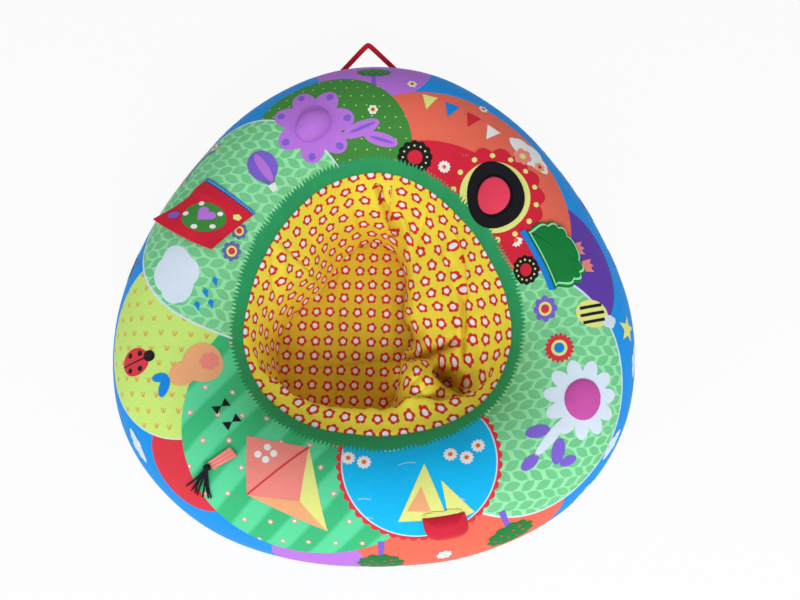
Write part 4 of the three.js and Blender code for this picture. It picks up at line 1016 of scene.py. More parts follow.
WALL_TURNS, WALL_ROWS = 430, 112
WALL_SPACING = 1.35  # power that sets the rows closer together near the floor
GATHER_RIGHT = (22, 62)  # direction and half spread, in degrees, of the wide panel on the right
GATHER, GATHER_MORE = 2.4, 4.7  # flowers fewer per row down the wall, and on that panel
OPENING_LENGTH = 1.53  # round the opening's seam, in metres
SEAM_ALLOWANCE = 1.02
TUCK_REACH, TUCK_LIFT = 2.5, -2.7  # how far the wall's top row runs in under the cover, and how deep it lies there
WALL_RADIUS = 205.0  # mean radius by which directions become lengths of cloth
FIRST_ROW = 0.011  # place of the print's first row under the opening, in metres
FLOOR_FLOWER, FLOOR_TURN = 28.0, 1.5  # pitch of the floor's flowers, and the turn of its cloth in degrees
CUSHION_SHARE, CUSHION_HEIGHT, CUSHION_HALF = 0.9, 13.5, 4.0


def build_seat_well():
    """The wall over direction and share of its depth, its top row tucked under the cover, and the floor inside its
    lower edge. The print's rows are counted down the wall, with fewer flowers round the wide right panel."""
    turn, row = flat_grid((0, FULL_TURN), (0, 1), (WALL_TURNS + 1, WALL_ROWS + 1))
    share = row ** WALL_SPACING
    points = wall_point(turn, share)
    tuck = skin(turn[:, -1:], opening_lean(turn[:, -1:]) - TUCK_REACH / HALF_WIDTH, TUCK_LIFT)
    points = np.concatenate([points, tuck], 1)
    turn = np.concatenate([turn, turn[:, -1:]], 1)
    plain = np.concatenate([wall_point(turn[:, :-1], share, plain=True), tuck], 1)
    walk = np.linalg.norm(np.diff(plain, axis=1), axis=-1)
    depth = np.concatenate([np.zeros((WALL_TURNS + 1, 1)), np.cumsum(walk[:, ::-1], axis=1)], 1)[:, ::-1]
    right = np.abs(turn_from(turn, GATHER_RIGHT[0])) < rad(GATHER_RIGHT[1])
    fewer = between(GATHER, GATHER_MORE, right)
    maps = {
        "Cloth": np.stack([turn * WALL_RADIUS, depth], -1) * MILLIMETRE,
        "Rows": np.stack([turn / FULL_TURN, depth * MILLIMETRE + FIRST_ROW], -1),
        "Gather": np.stack([fewer, fewer], -1),
    }
    wall = thicken(piece("seat_well_wall", sheet_grid(points, (True, False), maps), material("liner"),
                         merge=False))
    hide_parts(*[f"well_wall_{i:02d}" for i in range(1, 13)])
    area = surface_area(points)
    depth = round(area / OPENING_LENGTH * SEAM_ALLOWANCE, 3)
    reach, turn = flat_grid((0, 1), (0, FULL_TURN), (90, 271))
    edge = wall_point(turn, np.zeros_like(turn))
    radius = (np.hypot(edge[..., 0], edge[..., 1]) - SEAM_GAP) * reach
    x, y = radius * np.cos(turn), radius * np.sin(turn)
    puff = 4.5 * (1 - reach ** 6) + 1.2 * np.sin(x / 23 + 1) * np.sin(y / 31) * (1 - reach ** 4)
    height = np.maximum(SEAT_HEIGHT + puff + well_features(x, y), SEAT_HEIGHT)
    flat = np.stack(spun(x, y, FLOOR_TURN), -1)
    maps = {
        "Cloth": flat * MILLIMETRE,
        "Rows": np.stack([flat[..., 0] / FLOOR_FLOWER / FLOWERS_ROUND + 1, flat[..., 1] * MILLIMETRE + 1], -1),
        "Gather": flat * 0,
    }
    points = np.stack([x, y, height], -1)
    floor_piece = piece("seat_well_floor", sheet_grid(points, (False, False), maps), material("liner"))
    facing_up(floor_piece)
    thicken(floor_piece)
    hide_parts("well_floor")
    reach, turn = flat_grid((0, 1), (0, FULL_TURN), (24, 121))
    radius = (centre_radius(turn) - HALF_WIDTH) * CUSHION_SHARE * reach
    round_off = np.sqrt(np.maximum(1 - reach ** 12, 0)) * CUSHION_HALF
    levels = [np.stack([radius * np.cos(turn), radius * np.sin(turn), CUSHION_HEIGHT + way * round_off], -1)
              for way in (1, -1)]
    cushion = piece("seat_cushion", slab(*levels), material("wadding"))
    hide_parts("seat_wadding")


def surface_area(points):
    """Area of a grid in square metres: half the product of each quad's diagonals, crossed."""
    a = points[1:, 1:] - points[:-1, :-1]
    b = points[1:, :-1] - points[:-1, 1:]
    return round(float(np.linalg.norm(np.cross(a, b), axis=-1).sum()) / 2 * MILLIMETRE ** 2, 5)


def face_vectors(mesh, key):
    """A vector of every face, its normal or its centre."""
    values = np.zeros(len(mesh.polygons) * 3, np.float32)
    mesh.polygons.foreach_get(key, values)
    return values.reshape(-1, 3)


def facing_up(obj):
    """Turns an open sheet's faces over where most of them look down."""
    if face_vectors(obj.data, "normal")[:, 2].sum() < 0:
        obj.data.flip_normals()


# ---------------------------------------------------------------- sewn-on pieces

def laid_slab(patch, x_range, y_range, levels, shape, counts=(40, 36)):
    """A slab of cloth on the cover over two flat axes: the shape moves each flat point and adds to its lift."""
    x, y = flat_grid(x_range, y_range, counts)
    px, py, rise = shape(x, y)
    top, bottom = ((level(x, y) if callable(level) else level) for level in levels)
    return slab(lay(patch, px, py, top + rise), lay(patch, px, py, bottom + rise))


def pillow(half, depth, height):
    """Puffs a pocket of cloth: 0 along its edges and full in its middle, by two powers of four."""
    return lambda x, y: height * (1 - (x / half) ** 4) * (1 - (2 * y / depth - 1) ** 4)


def ringed(patch, outline, sections, over=0.0):
    """A closed body of loops of one flat outline, each by its share of the outline and its lift, shifted over the tube
    and drawn together at both ends."""
    x, y = outline
    return capped(np.stack([lay(patch, x * share, y * share + over, lift) for share, lift in sections], 1))


def oval(long, wide, steps):
    around = round_steps(steps)
    return long / 2 * np.cos(around), wide / 2 * np.sin(around)


def leaf_outline(width, depth, scallops, scallop_depth, root_share, steps):
    """A straight root and a full far edge, its corners filled by a power below 1, with scallops. The root takes the
    first share of the steps."""
    u = np.mod(round_steps(steps) / FULL_TURN, 1)
    root = u < root_share
    angle = np.pi * (1 - (u - root_share) / (1 - root_share))
    dip = 1 - scallop_depth / depth * (1 - np.abs(np.sin(scallops * angle)))
    soft = filled_out(angle, 0.6)
    x = np.where(root, between(width / 2, -width / 2, u / root_share), width / 2 * soft[0] * dip)
    return x, np.where(root, -depth / 2, -depth / 2 + depth * soft[1] * dip)


def hinge_tape(name, patch, half, grid, far, near, crown, finish):
    """A tape sewn over a flap's hinge, from its far to its near edge, its top arched by the crown."""
    x, share = flat_grid((-half, half), (0, 1), grid)
    over = far + (near - far) * share
    return piece(name, slab(lay(patch, x, over, FACET_GAP + crown(share)),
                            lay(patch, x, over, FACET_GAP - 0.5 + 0 * share)), material(finish))


def overprint(name, part, body):
    """A thin print that rides on a sewn-on piece."""
    facing_out(piece(name, part, material("pictures"), body=body, merge=False))


def build_square_flap():
    """The square flap: two layers of cloth, skewed and curling up by the square of the way out, most at its drawn-in
    corner, with a puffed middle, a hollow side, a crease along the hinge and softly waving edges."""
    half, depth = FLAP_HALF, FLAP_DEPTH
    puff = pillow(half, depth, 2.2)

    def shape(x, y):
        out = y / depth
        near = (x / half + 1) / 2
        crease = FLAP_CREASE * np.exp(-((y - 17 - 4 * near) / 8) ** 2) * near
        wave = FLAP_WAVE * out * np.sin(x / 11 + 0.4) + crease
        drawn = 1 - FLAP_DRAWN * near ** 1.5
        hollow = FLAP_HOLLOW * np.sin(np.pi * np.clip(out * 1.15 - 0.15, 0, 1)) * near ** 3
        all_over, far_corner, near_corner = FLAP_CURL
        curl = all_over + far_corner * (1 - near) ** 3 + near_corner * near ** 3
        across = x + FLAP_SKEW * y + FLAP_FLARE * near ** 2 * out ** 2 - hollow
        return across, y * drawn, curl * out ** 2 + wave * out ** 0.5

    def on_flap(x, y, lift):
        px, py, rise = shape(x, y)
        return lay(SQUARE_FLAP, px, py, FACET_GAP + FLAP_THICK + puff(x, y) + rise + lift)
    levels = (lambda x, y: FACET_GAP + FLAP_THICK + puff(x, y), lambda x, y: FACET_GAP + 0 * x)
    flap = piece("square_flap_cloth", laid_slab(SQUARE_FLAP, (-half, half), (0, depth), levels, shape, (56, 52)),
                 material("toy_red"), body="square_flap")
    smoothed(flap)
    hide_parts("square_flap")
    film = piece("square_flap_crinkle_film",
                 laid_slab(SQUARE_FLAP, (-46, 46), (7.5, 92.5), FILM_LEVELS, shape, (40, 40)),
                 material("film"), body="square_flap")
    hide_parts("square_flap_film")
    binding = hinge_tape("square_flap_tape", SQUARE_FLAP, half + 0.5, (90, 9), -6.3, -0.3,
                         lambda share: 1.4 + 0.7 * np.sin(np.pi * share), "tape")
    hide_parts("square_flap_binding")
    stitch_line("square_flap_stitches", on_flap(*flap_path(half - 3, depth - 3), 0.15), "toy_red", "square_flap")
    shapes = [(blob(-4, 55, 33, 28, 10), 0, "meadow_green"), (heart(-2, 52, 15, 175), 1, "lilac")]
    shapes += [(blob(x, y, 4.4, steps=28), 1, "white") for x, y in ((-26, 62), (-18, 36), (22, 66), (18, 38), (-6, 77))]
    shapes += [(blob(35, 78, 9, 7, 30), 0, "grape"), (blob(-40, 24, 6, 6, 0, 5, 0.12), 0, "sail_yellow")]
    overprint("square_flap_print", together([inked_shape(*each, on_flap) for each in shapes]), "square_flap")


def flap_path(half, depth):
    """Up one side of a flap, along its free edge and down the other side, on its flat plan."""
    side = np.linspace(4, depth, 160)
    across = np.linspace(-half, half, 170)
    x = np.concatenate([np.full(160, -half), across, np.full(160, half)])
    return x, np.concatenate([side, np.full(170, depth), side[::-1]])


def build_leaf_flap():
    """The scalloped flap: its outline shrunk in rings, puffed in the middle and lifting towards its far edge."""
    depth = LEAF_DEPTH
    around = round_steps(240)
    x, y = leaf_outline(LEAF_WIDTH, depth, 7, 5, 0.2, 240)

    def puff(share):
        return 2.6 * (1 - share ** 3) + 0.7 * np.cos(7 * around) * share ** 2

    def loop(share, above):
        out = y * share + depth / 2
        return lay(LEAF_FLAP, x * share, out, FACET_GAP + LEAF_RISE * (out / depth) ** 2 + above)
    shares = (0.02, 0.2, 0.4, 0.55, 0.7, 0.82, 0.92, 0.985, 1.0)
    top = [loop(s, LEAF_THICK * (1 - 0.55 * max(s - 0.82, 0) / 0.18) + puff(s)) for s in shares[::-1]]
    flap = piece("leaf_flap_cloth", capped(np.stack([loop(s, 0.0) for s in shares] + top, 1)), material("bush"),
                 body="leaf_flap")
    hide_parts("leaf_flap")
    border = np.stack([loop(s, LEAF_THICK + 0.15 + puff(s)) for s in (0.87, 0.9, 0.93)])
    ink = np.broadcast_to(np.array(dye("leaf_green")), (*border.shape[:2], 4))
    overprint("leaf_flap_print", sheet_grid(border, maps={
        "Ink": ink, "Cloth": border[..., :2] * MILLIMETRE, "Band": np.full((*border.shape[:2], 2), 1.0)}), "leaf_flap")

    def shape(fx, fy):
        return fx, fy, LEAF_RISE * (np.maximum(fy, 0) / depth) ** 2
    film = piece("leaf_flap_crinkle_film", laid_slab(LEAF_FLAP, (-41, 41), (7, 47), FILM_LEVELS, shape),
                 material("film"), body="leaf_flap")
    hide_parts("leaf_flap_film")
    ribbon = hinge_tape("leaf_flap_ribbon_tape", LEAF_FLAP, LEAF_WIDTH / 2, (90, 11), -10.3, -0.3,
                        lambda share: 1.4 + 1.6 * np.sin(np.pi * share) ** 0.7, "ribbon")
    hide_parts("leaf_flap_ribbon")


def capped(points):
    """A tube of loops whose first and last loops are drawn together to their middles."""
    ends = [np.repeat(points[:-1, k].mean(0)[None], len(points), 0)[:, None] for k in (0, -1)]
    whole = np.concatenate([ends[0], points, ends[1]], 1)
    return sheet_grid(whole, (True, False), {"Cloth": cloth_map(whole)})


def dome_body(patch, size, tucks, depth, power=0.5):
    """A sewn dome: lift is the height times a power of one minus the squared share of the way out, with tucks that
    deepen towards the rim. Its underside is flat."""
    long, wide, height = size
    shares = np.concatenate([np.linspace(0.03, 0.9, 16), np.linspace(0.93, 1.0, 6)])
    pull = np.abs(np.sin(tucks / 2 * round_steps(192)))
    over = [(s, FACET_GAP + height * (1 - s * s) ** power - depth * s ** 3 * (1 - pull) * min(1, 6 * (1 - s)))
            for s in shares]
    return ringed(patch, oval(long, wide, 192), over + [(s, FACET_GAP - 0.4) for s in (1.0, 0.7, 0.35)])


def build_dome():
    """The squeaking dome: its cover with tucks round the rim, wadding, and a bellows squeaker of two folds."""
    cover = piece("dome_cloth", dome_body(DOME, DOME_SIZE, 22, 1.6), material("dome"))
    smoothed(cover)
    centre, axis = patch_frame(DOME)
    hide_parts("dome_cover")
    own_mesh(cover)
    squeaker = piece("dome_squeak_bellows", bellows(DOME, 15.0, 1.2, 8.4), material("plastic"))
    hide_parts("dome_squeaker")
    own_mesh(squeaker)
    crown = [(s, 9.8 + 9.2 * (1 - s * s) ** 0.5) for s in np.linspace(0.04, 1, 14)]
    filling = piece("dome_filling", ringed(DOME, oval(38, 29, 96), crown + [(0.9, 9.6), (0.4, 9.6)]),
                    material("wadding"), body="dome_press")
    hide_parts("dome_wadding")


def bellows(patch, radius, low, high, fold=1.6):
    """A ring with two soft folds: its radius swings twice between its bottom and its top."""
    rise = np.linspace(0, 1, 15)
    swing = radius - fold * np.abs(np.sin(FULL_TURN * rise))
    around = round_steps(64)

    def loop(r, h):
        return lay(patch, r * np.cos(around), r * np.sin(around), between(low, high, h))
    outer = [loop(r, h) for r, h in zip(swing, rise)]
    inner = [loop(r - fold, h) for r, h in zip(swing[::-1], rise[::-1])]
    points = np.stack(outer + inner + outer[:1], 1)
    return sheet_grid(points, (True, True), {"Cloth": cloth_map(points)})


def patch_frame(patch):
    """Middle of a patch in the frame, in metres, and the way square out of the cover there: the steps along the ring
    and over the tube, crossed."""
    middle, along, over = lay(patch, np.array((0, 0.1, 0)), np.array((0, 0, 0.1)), 0.0)
    out = np.cross(along - middle, over - middle)
    return tuple((middle + np.array(FRAME_SHIFT)) * MILLIMETRE), tuple(out / np.linalg.norm(out))


def disc_circle(radius, steps):
    return oval(2 * DISC_SCALE * radius, 2 * DISC_SCALE * radius, steps)


def build_press_disc():
    """The black ring with its bound edges, the crowned press pad in it, and the bellows under the pad."""
    radii = [RING_INNER, 32.4, 33.5, *np.linspace(36, 50, 10), 52.6, 53.6, RING_OUTER]
    crown = [0.0, 1.1, 1.7, *[1.5] * 10, 1.7, 1.1, 0.0]
    sections = [(r, FACET_GAP + c) for r, c in zip(radii, crown)]
    sections += [(r, FACET_GAP - 0.4) for r in (RING_OUTER, RING_INNER)]
    x, y = disc_circle(1, 144)
    points = np.stack([lay(DISC, x * r, y * r, lift) for r, lift in (*sections, sections[0])], 1)
    ring = piece("press_ring_cloth", sheet_grid(points, (True, True), {"Cloth": cloth_map(points)}),
                 material("black"))
    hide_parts("press_ring")
    shares = (0.03, 0.2, 0.4, 0.6, 0.78, 0.9, 0.96, 0.99, 1.0, 0.98, 0.9, 0.5)
    lifts = [10 + 3.2 * (1 - s ** 3) for s in shares[:5]] + [11.0, 10.3, 9.4, 8.4, 7.5, 7.0, 7.0]
    pad = piece("press_pad_cloth", ringed(DISC, disc_circle(PAD_RADIUS, 144), zip(shares, lifts)), material("pad"),
                body="press_pad")
    smoothed(pad)
    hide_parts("press_pad")
    centre, axis = patch_frame(DISC)
    squeaker = piece("press_squeak_bellows", bellows(DISC, 20.0, 1.0, 5.8), material("plastic"))
    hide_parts("press_bellows")
    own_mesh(squeaker)


def build_tongue():
    """The padded tongue: rings of its outline, full in the middle, its rim drawn in by a seam, and a scalloped trim."""
    outline = leaf_outline(TONGUE_WIDTH, TONGUE_LENGTH, 1, 0, 0.2, 160)
    shares = (0.03, 0.15, 0.3, 0.45, 0.6, 0.72, 0.84, 0.92, 0.97, 1.0)
    gather = 0.35 * np.sin(40 * round_steps(160))
    sections = [(s, FACET_GAP + 2.5 + 10.3 * (1 - s ** 2.4) + gather * s ** 6) for s in shares]
    sections += [(1.012, FACET_GAP + 1.8), (1.0, FACET_GAP + 0.8)]
    sections += [(s, FACET_GAP) for s in (0.97, 0.8, 0.5, 0.2)]
    tongue = piece("tongue_cloth", ringed(TONGUE, outline, sections, TONGUE_LENGTH / 2), material("tongue"),
                   body="tongue")
    smoothed(tongue)
    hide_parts("tongue_pad")
    sections = [(0.9 * s, FACET_GAP + 1.2 + 9.4 * (1 - s ** 2.4)) for s in shares]
    sections += [(0.9 * s, FACET_GAP + 1.0) for s in (0.8, 0.3)]
    filling = piece("tongue_stuffing", ringed(TONGUE, outline, sections, TONGUE_LENGTH / 2), material("wadding"),
                    body="tongue")
    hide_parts("tongue_filling")
    x, y = leaf_outline(TONGUE_WIDTH, TRIM_DEPTH, 6, 2, 0.35, 240)
    sections = [(0.05, 1.4), (0.5, 1.4), (0.85, 1.5), (0.97, 1.2), (1.0, 0.6), (1.0, -0.3), (0.4, -0.3)]
    trim = piece("tongue_trim_cloth", ringed(TONGUE, (x, -y), [(s, FACET_GAP + h) for s, h in sections], TRIM_OFF),
                 material("pale"))
    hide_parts("tongue_trim")


def swept(centres, across, over, width, thickness, sides, power):
    """A strap: a flat oval section carried along a line of centres, its long side along one vector and its short side
    along the other, per point."""
    soft = filled_out(round_steps(sides), power)
    width, thickness = (np.broadcast_to(v, len(centres))[:, None, None] for v in (width, thickness))
    points = (centres[:, None] + across[:, None] * soft[0][None, :, None] * width / 2 +
              over[:, None] * soft[1][None, :, None] * thickness / 2)
    return capped(np.swapaxes(points, 0, 1))


def directions(line):
    steps = np.gradient(line, axis=0)
    return steps / np.linalg.norm(steps, axis=1)[:, None]


def build_tab_and_tassel():
    """The ribbon tab, pleated towards its gathered end, and the tassel: a wound knot and cords that fan out."""
    across, out = flat_grid((-1, 1), (0, 1), (34, 40))
    x, y = across * TAB_HALF * between(1, 0.62, out), out * TAB_LENGTH
    pleat = 0.5 * np.sin(across * 9) * (0.3 + 0.7 * out)
    tab = piece("ribbon_tab_cloth", slab(lay(TAB, x, y, FACET_GAP + 2.5 + pleat),
                                         lay(TAB, x, y, FACET_GAP + pleat * 0.6)),
                material("salmon"), body="ribbon_tab")
    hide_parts("ribbon_tab")

    def fan(x, y, lift):
        x, y = spun(x, y, TASSEL_TURN)
        return lay(TAB, x, TAB_LENGTH + SEAM_GAP + KNOT_RADIUS + y, lift)
    up, around = flat_grid((0, np.pi), (0, FULL_TURN), (15, 29))
    girth = KNOT_RADIUS + 0.35 * np.sin(up * 16)
    parts = [sheet_grid(fan(girth * np.sin(up) * np.cos(around), girth * np.sin(up) * np.sin(around),
                            KNOT_RADIUS + SEAM_GAP - girth * np.cos(up)),
                        (False, True), {"Cloth": np.stack([up, around], -1)})]
    way = np.linspace(0, 1, 26)
    for k in range(STRANDS):
        angle = rad(STRAND_FAN) * (k / (STRANDS - 1) - 0.5)
        far = between(KNOT_RADIUS / 2, STRAND_LENGTH - abs(k - (STRANDS - 1) / 2), way)
        x = far * np.sin(angle) + 1.6 * np.sin(3.1 * way + 1.7 * k) * way
        lift = SEAM_GAP + between(KNOT_RADIUS, 1.5, np.minimum(2 * way, 1)) + 0.4 * np.sin(2 * way + k) ** 2
        line = fan(x, far * np.cos(angle), lift)
        over = fan(x, far * np.cos(angle), lift + 1) - line
        parts.append(swept(line, np.cross(directions(line), over), over, STRAND_WIDTH * (1 - 0.25 * way ** 4),
                           STRAND_WIDTH, sides=9, power=1.0))
    tassel = piece("tassel_cords", together(parts), material("cord_black"), body="tassel")
    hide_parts("tassel")


def build_oval():
    """The low oval pad, tucked round its rim, over thin wadding."""
    pad = piece("oval_pad_cloth", dome_body(OVAL, OVAL_SIZE, 30, 0.7, power=0.6), material("oval"))
    smoothed(pad)
    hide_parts("oval_patch")
    sections = [(s, FACET_GAP + 0.6 + 4.2 * (1 - s * s) ** 0.6) for s in np.linspace(0.05, 1, 12)]
    sections += [(s, FACET_GAP + 0.3) for s in (0.9, 0.4)]
    filling = piece("oval_filling", ringed(OVAL, oval(61, 57, 96), sections), material("wadding"))
    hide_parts("oval_wadding")


def build_carry_loop():
    """The carry loop: a tape along two straight legs that meet in a tight round fold, its section a flat oval."""
    joint = next(j for j in frame["joints"] if j["name"] == "carry_loop_swing")
    root = np.array(joint["pos_m"]) / MILLIMETRE - np.array(FRAME_SHIFT)
    direction, slope = rad(LOOP_DIRECTION), rad(LOOP_STAND)
    out = np.array([np.cos(direction), np.sin(direction), 0])
    across = np.array([np.sin(direction), -np.cos(direction), 0])
    stand = out * np.cos(slope) + np.array([0, 0, 1]) * np.sin(slope)
    low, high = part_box("carry_loop")
    tip = (high.z - low.z) / MILLIMETRE / np.sin(slope) - LOOP_THICK - 4.0
    way = np.linspace(-1, 1, 121)
    y = tip - np.sqrt((tip * np.abs(way)) ** 2 + LOOP_FOLD ** 2) + LOOP_FOLD * (1 - np.abs(way))
    line = root + LOOP_HALF * way[:, None] * across + np.maximum(y, 1.0)[:, None] * stand
    over = np.repeat(np.cross(across, stand)[None], len(line), 0)
    side = np.cross(directions(line), over)
    loop = piece("carry_loop_tape", swept(line, side, over, LOOP_WIDTH, LOOP_THICK, sides=16, power=0.8),
                 material("loop"), body="carry_loop")
    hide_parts("carry_loop")


def stitch_line(name, path, key, body):
    """Stitches along a path: the path is cut into equal runs, and each run is a short thread of six sides, thickest
    in its middle."""
    walked = np.concatenate([[0], np.cumsum(np.linalg.norm(np.diff(path, axis=0), axis=1))])
    run = sizes().stitch / MILLIMETRE
    count = int(walked[-1] // (run + STITCH_GAP))
    share = np.linspace(0, 1, 5)
    at = np.arange(count)[:, None] * (run + STITCH_GAP) + share[None] * run
    line = np.stack([np.interp(at, walked, path[:, k]) for k in range(3)], -1)
    heading = line[:, -1] - line[:, 0]
    heading /= np.linalg.norm(heading, axis=1)[:, None]
    side = np.cross(heading, [0.0, 0.0, 1.0])
    side /= np.linalg.norm(side, axis=1)[:, None] + 1e-9
    over = np.cross(side, heading)
    around = round_steps(6)
    girth = STITCH_GIRTH * np.sqrt(np.maximum(1 - (2 * share - 1) ** 4, 0))
    rim = (side[:, None, None] * np.cos(around)[None, None, :, None] +
           over[:, None, None] * np.sin(around)[None, None, :, None])
    points = line[:, :, None] + rim * girth[None, :, None, None]
    parts = [sheet_grid(points[k], (False, True), {}) for k in range(count)]
    piece(name, together(parts), material("thread_" + key), body=body)


# ---------------------------------------------------------------- printed pictures

def put(cx, cy, x, y, turn):
    """Flat points turned round nought and moved to a middle."""
    x, y = spun(x, y, turn)
    return np.stack([cx + x, cy + y], -1)


def blob(cx, cy, rx, ry=None, turn=0.0, petals=0, swing=0.0, steps=64):
    """Outline of a disc or flower on the plan: its radius swings by a share, some number of times round."""
    around = round_steps(steps)
    edge = 1 + swing * (2 * np.abs(np.cos(petals / 2 * around)) - 1)
    return put(cx, cy, rx * edge * np.cos(around), (ry or rx) * edge * np.sin(around), turn)


def facets(cx, cy, corners, turn=0.0, scale=1.0, each=14):
    """Outline of straight-sided shapes: its corners round a middle, with equal steps along every side."""
    corners = put(cx, cy, *(np.array(corners, float) * scale).T, turn)
    share = np.arange(each)[None, :, None] / each
    line = between(corners[:, None], np.roll(corners, -1, axis=0)[:, None], share).reshape(-1, 2)
    return np.concatenate([line, line[:1]])


def heart(cx, cy, size, turn=0.0):
    """The common heart curve: sixteen sin cubed across, and four cosines up."""
    t = round_steps(72)
    y = (13 * np.cos(t) - 5 * np.cos(2 * t) - 2 * np.cos(3 * t) - np.cos(4 * t)) / 16 + 0.1
    return put(cx, cy, size * np.sin(t) ** 3, size * y, turn)


def crescent(cx, cy, radius, width, start, end, steps=40):
    """A band of a circle between two directions, swelling from nothing at its ends: its outer and its inner edge."""
    t = np.linspace(rad(start), rad(end), steps)
    bow = np.sin(np.linspace(0, np.pi, steps)) ** 0.35 * width / 2
    return [np.stack([cx + edge * np.cos(t), cy + edge * np.sin(t)], -1) for edge in (radius + bow, radius - bow)]


def inked_shape(outline, layer, key, place=None):
    """A printed shape: rings of its outline drawn in to its middle, laid on the cover a little above it."""
    middle = outline[:-1].mean(0)
    share = np.linspace(0, 1, 7)[:, None, None]
    return inked(between(middle[None, None], outline[None], share), layer, key, place)


def banded(outer, inner, layer, key):
    share = np.linspace(0, 1, 5)[:, None, None]
    return inked(between(inner[None], outer[None], share), layer, key, None)


def inked(flat, layer, key, place):
    """Points of a flat grid laid on the cover, or on the piece that a place function gives, with their ink."""
    x, y = flat[..., 0], flat[..., 1]
    points = (place or plan_skin)(x, y, 0.5 + 0.2 * layer)
    ink = np.broadcast_to(np.array(dye(key)), (*flat.shape[:2], 4))
    band = np.full(flat.shape, 1.0)
    if place is None:
        turn = np.mod(np.arctan2(y, x), FULL_TURN)
        band = cover_band(turn, np.pi / 2 - (np.hypot(x, y) - centre_radius(turn)) / MEAN_HALF)
    return sheet_grid(points, (False, False), {"Ink": ink, "Cloth": flat * MILLIMETRE, "Band": band})


def daisy(cx, cy, radius, petals=11, ring="white", heart_key="orange"):
    return [
        (blob(cx, cy, radius, petals=petals, swing=0.13, steps=88), 0, ring),
        (blob(cx, cy, radius * 0.36), 1, heart_key),
    ]


def folk_flower(cx, cy, radius, petal, petals=8):
    """A flower of rings: scalloped petals, a pale ring and a bright heart."""
    return [
        (blob(cx, cy, radius, petals=petals, swing=0.12, steps=96), 0, petal),
        (blob(cx, cy, radius * 0.6), 1, "sail_yellow"),
        (blob(cx, cy, radius * 0.38), 2, "crescent_red" if petal != "crescent_red" else "tape_blue"),
    ]


def cloud(cx, cy, long, wide, turn, key="sky_white"):
    """A cloud: a long oval with four round puffs, by their places in shares of its length and width."""
    shapes = [(blob(cx, cy, long / 2, wide * 0.34, turn), 0, key)]
    for x, y, r in ((-0.24, 0.12, 0.30), (0.02, 0.2, 0.38), (0.27, 0.08, 0.28), (0.02, -0.16, 0.3)):
        puff = blob(*put(cx, cy, x * long, y * wide, turn), r * wide * 1.15, r * wide, turn)
        shapes.append((puff, 0, key))
    return shapes


def tree(cx, cy, turn, size=1.0, tall=15):
    """A small tree: a tapered trunk and a scalloped crown of the height given, with berries."""
    shapes = [(facets(cx, cy, [(-4, -16), (4, -16), (3, 14), (-3, 14)], turn, size), 0, "grape")]
    crown = put(cx, cy, 0, size * (9 + tall), turn)
    shapes.append((blob(*crown, 30 * size, tall * size, turn, 11, 0.08, 88), 1, "bush_green"))
    for x, y in ((-17, 24), (-8, 30), (-5, 19), (4, 26), (12, 19), (15, 29), (-14, 17), (22, 24)):
        berry = put(cx, cy, size * x, size * (9 + (y - 9) * tall / 15), turn)
        shapes.append((blob(*berry, 1.9 * size, steps=12), 2, "crescent_red"))
    return shapes


def petal_ring(cx, cy, reach, long, wide, count, key, layer=0, start=0.0):
    """Petals of one kind round a middle, each an oval pointing outwards."""
    turns = start + 360 / count * np.arange(count)
    return [(blob(*put(cx, cy, reach, 0, turn), long, wide, turn), layer, key) for turn in turns]


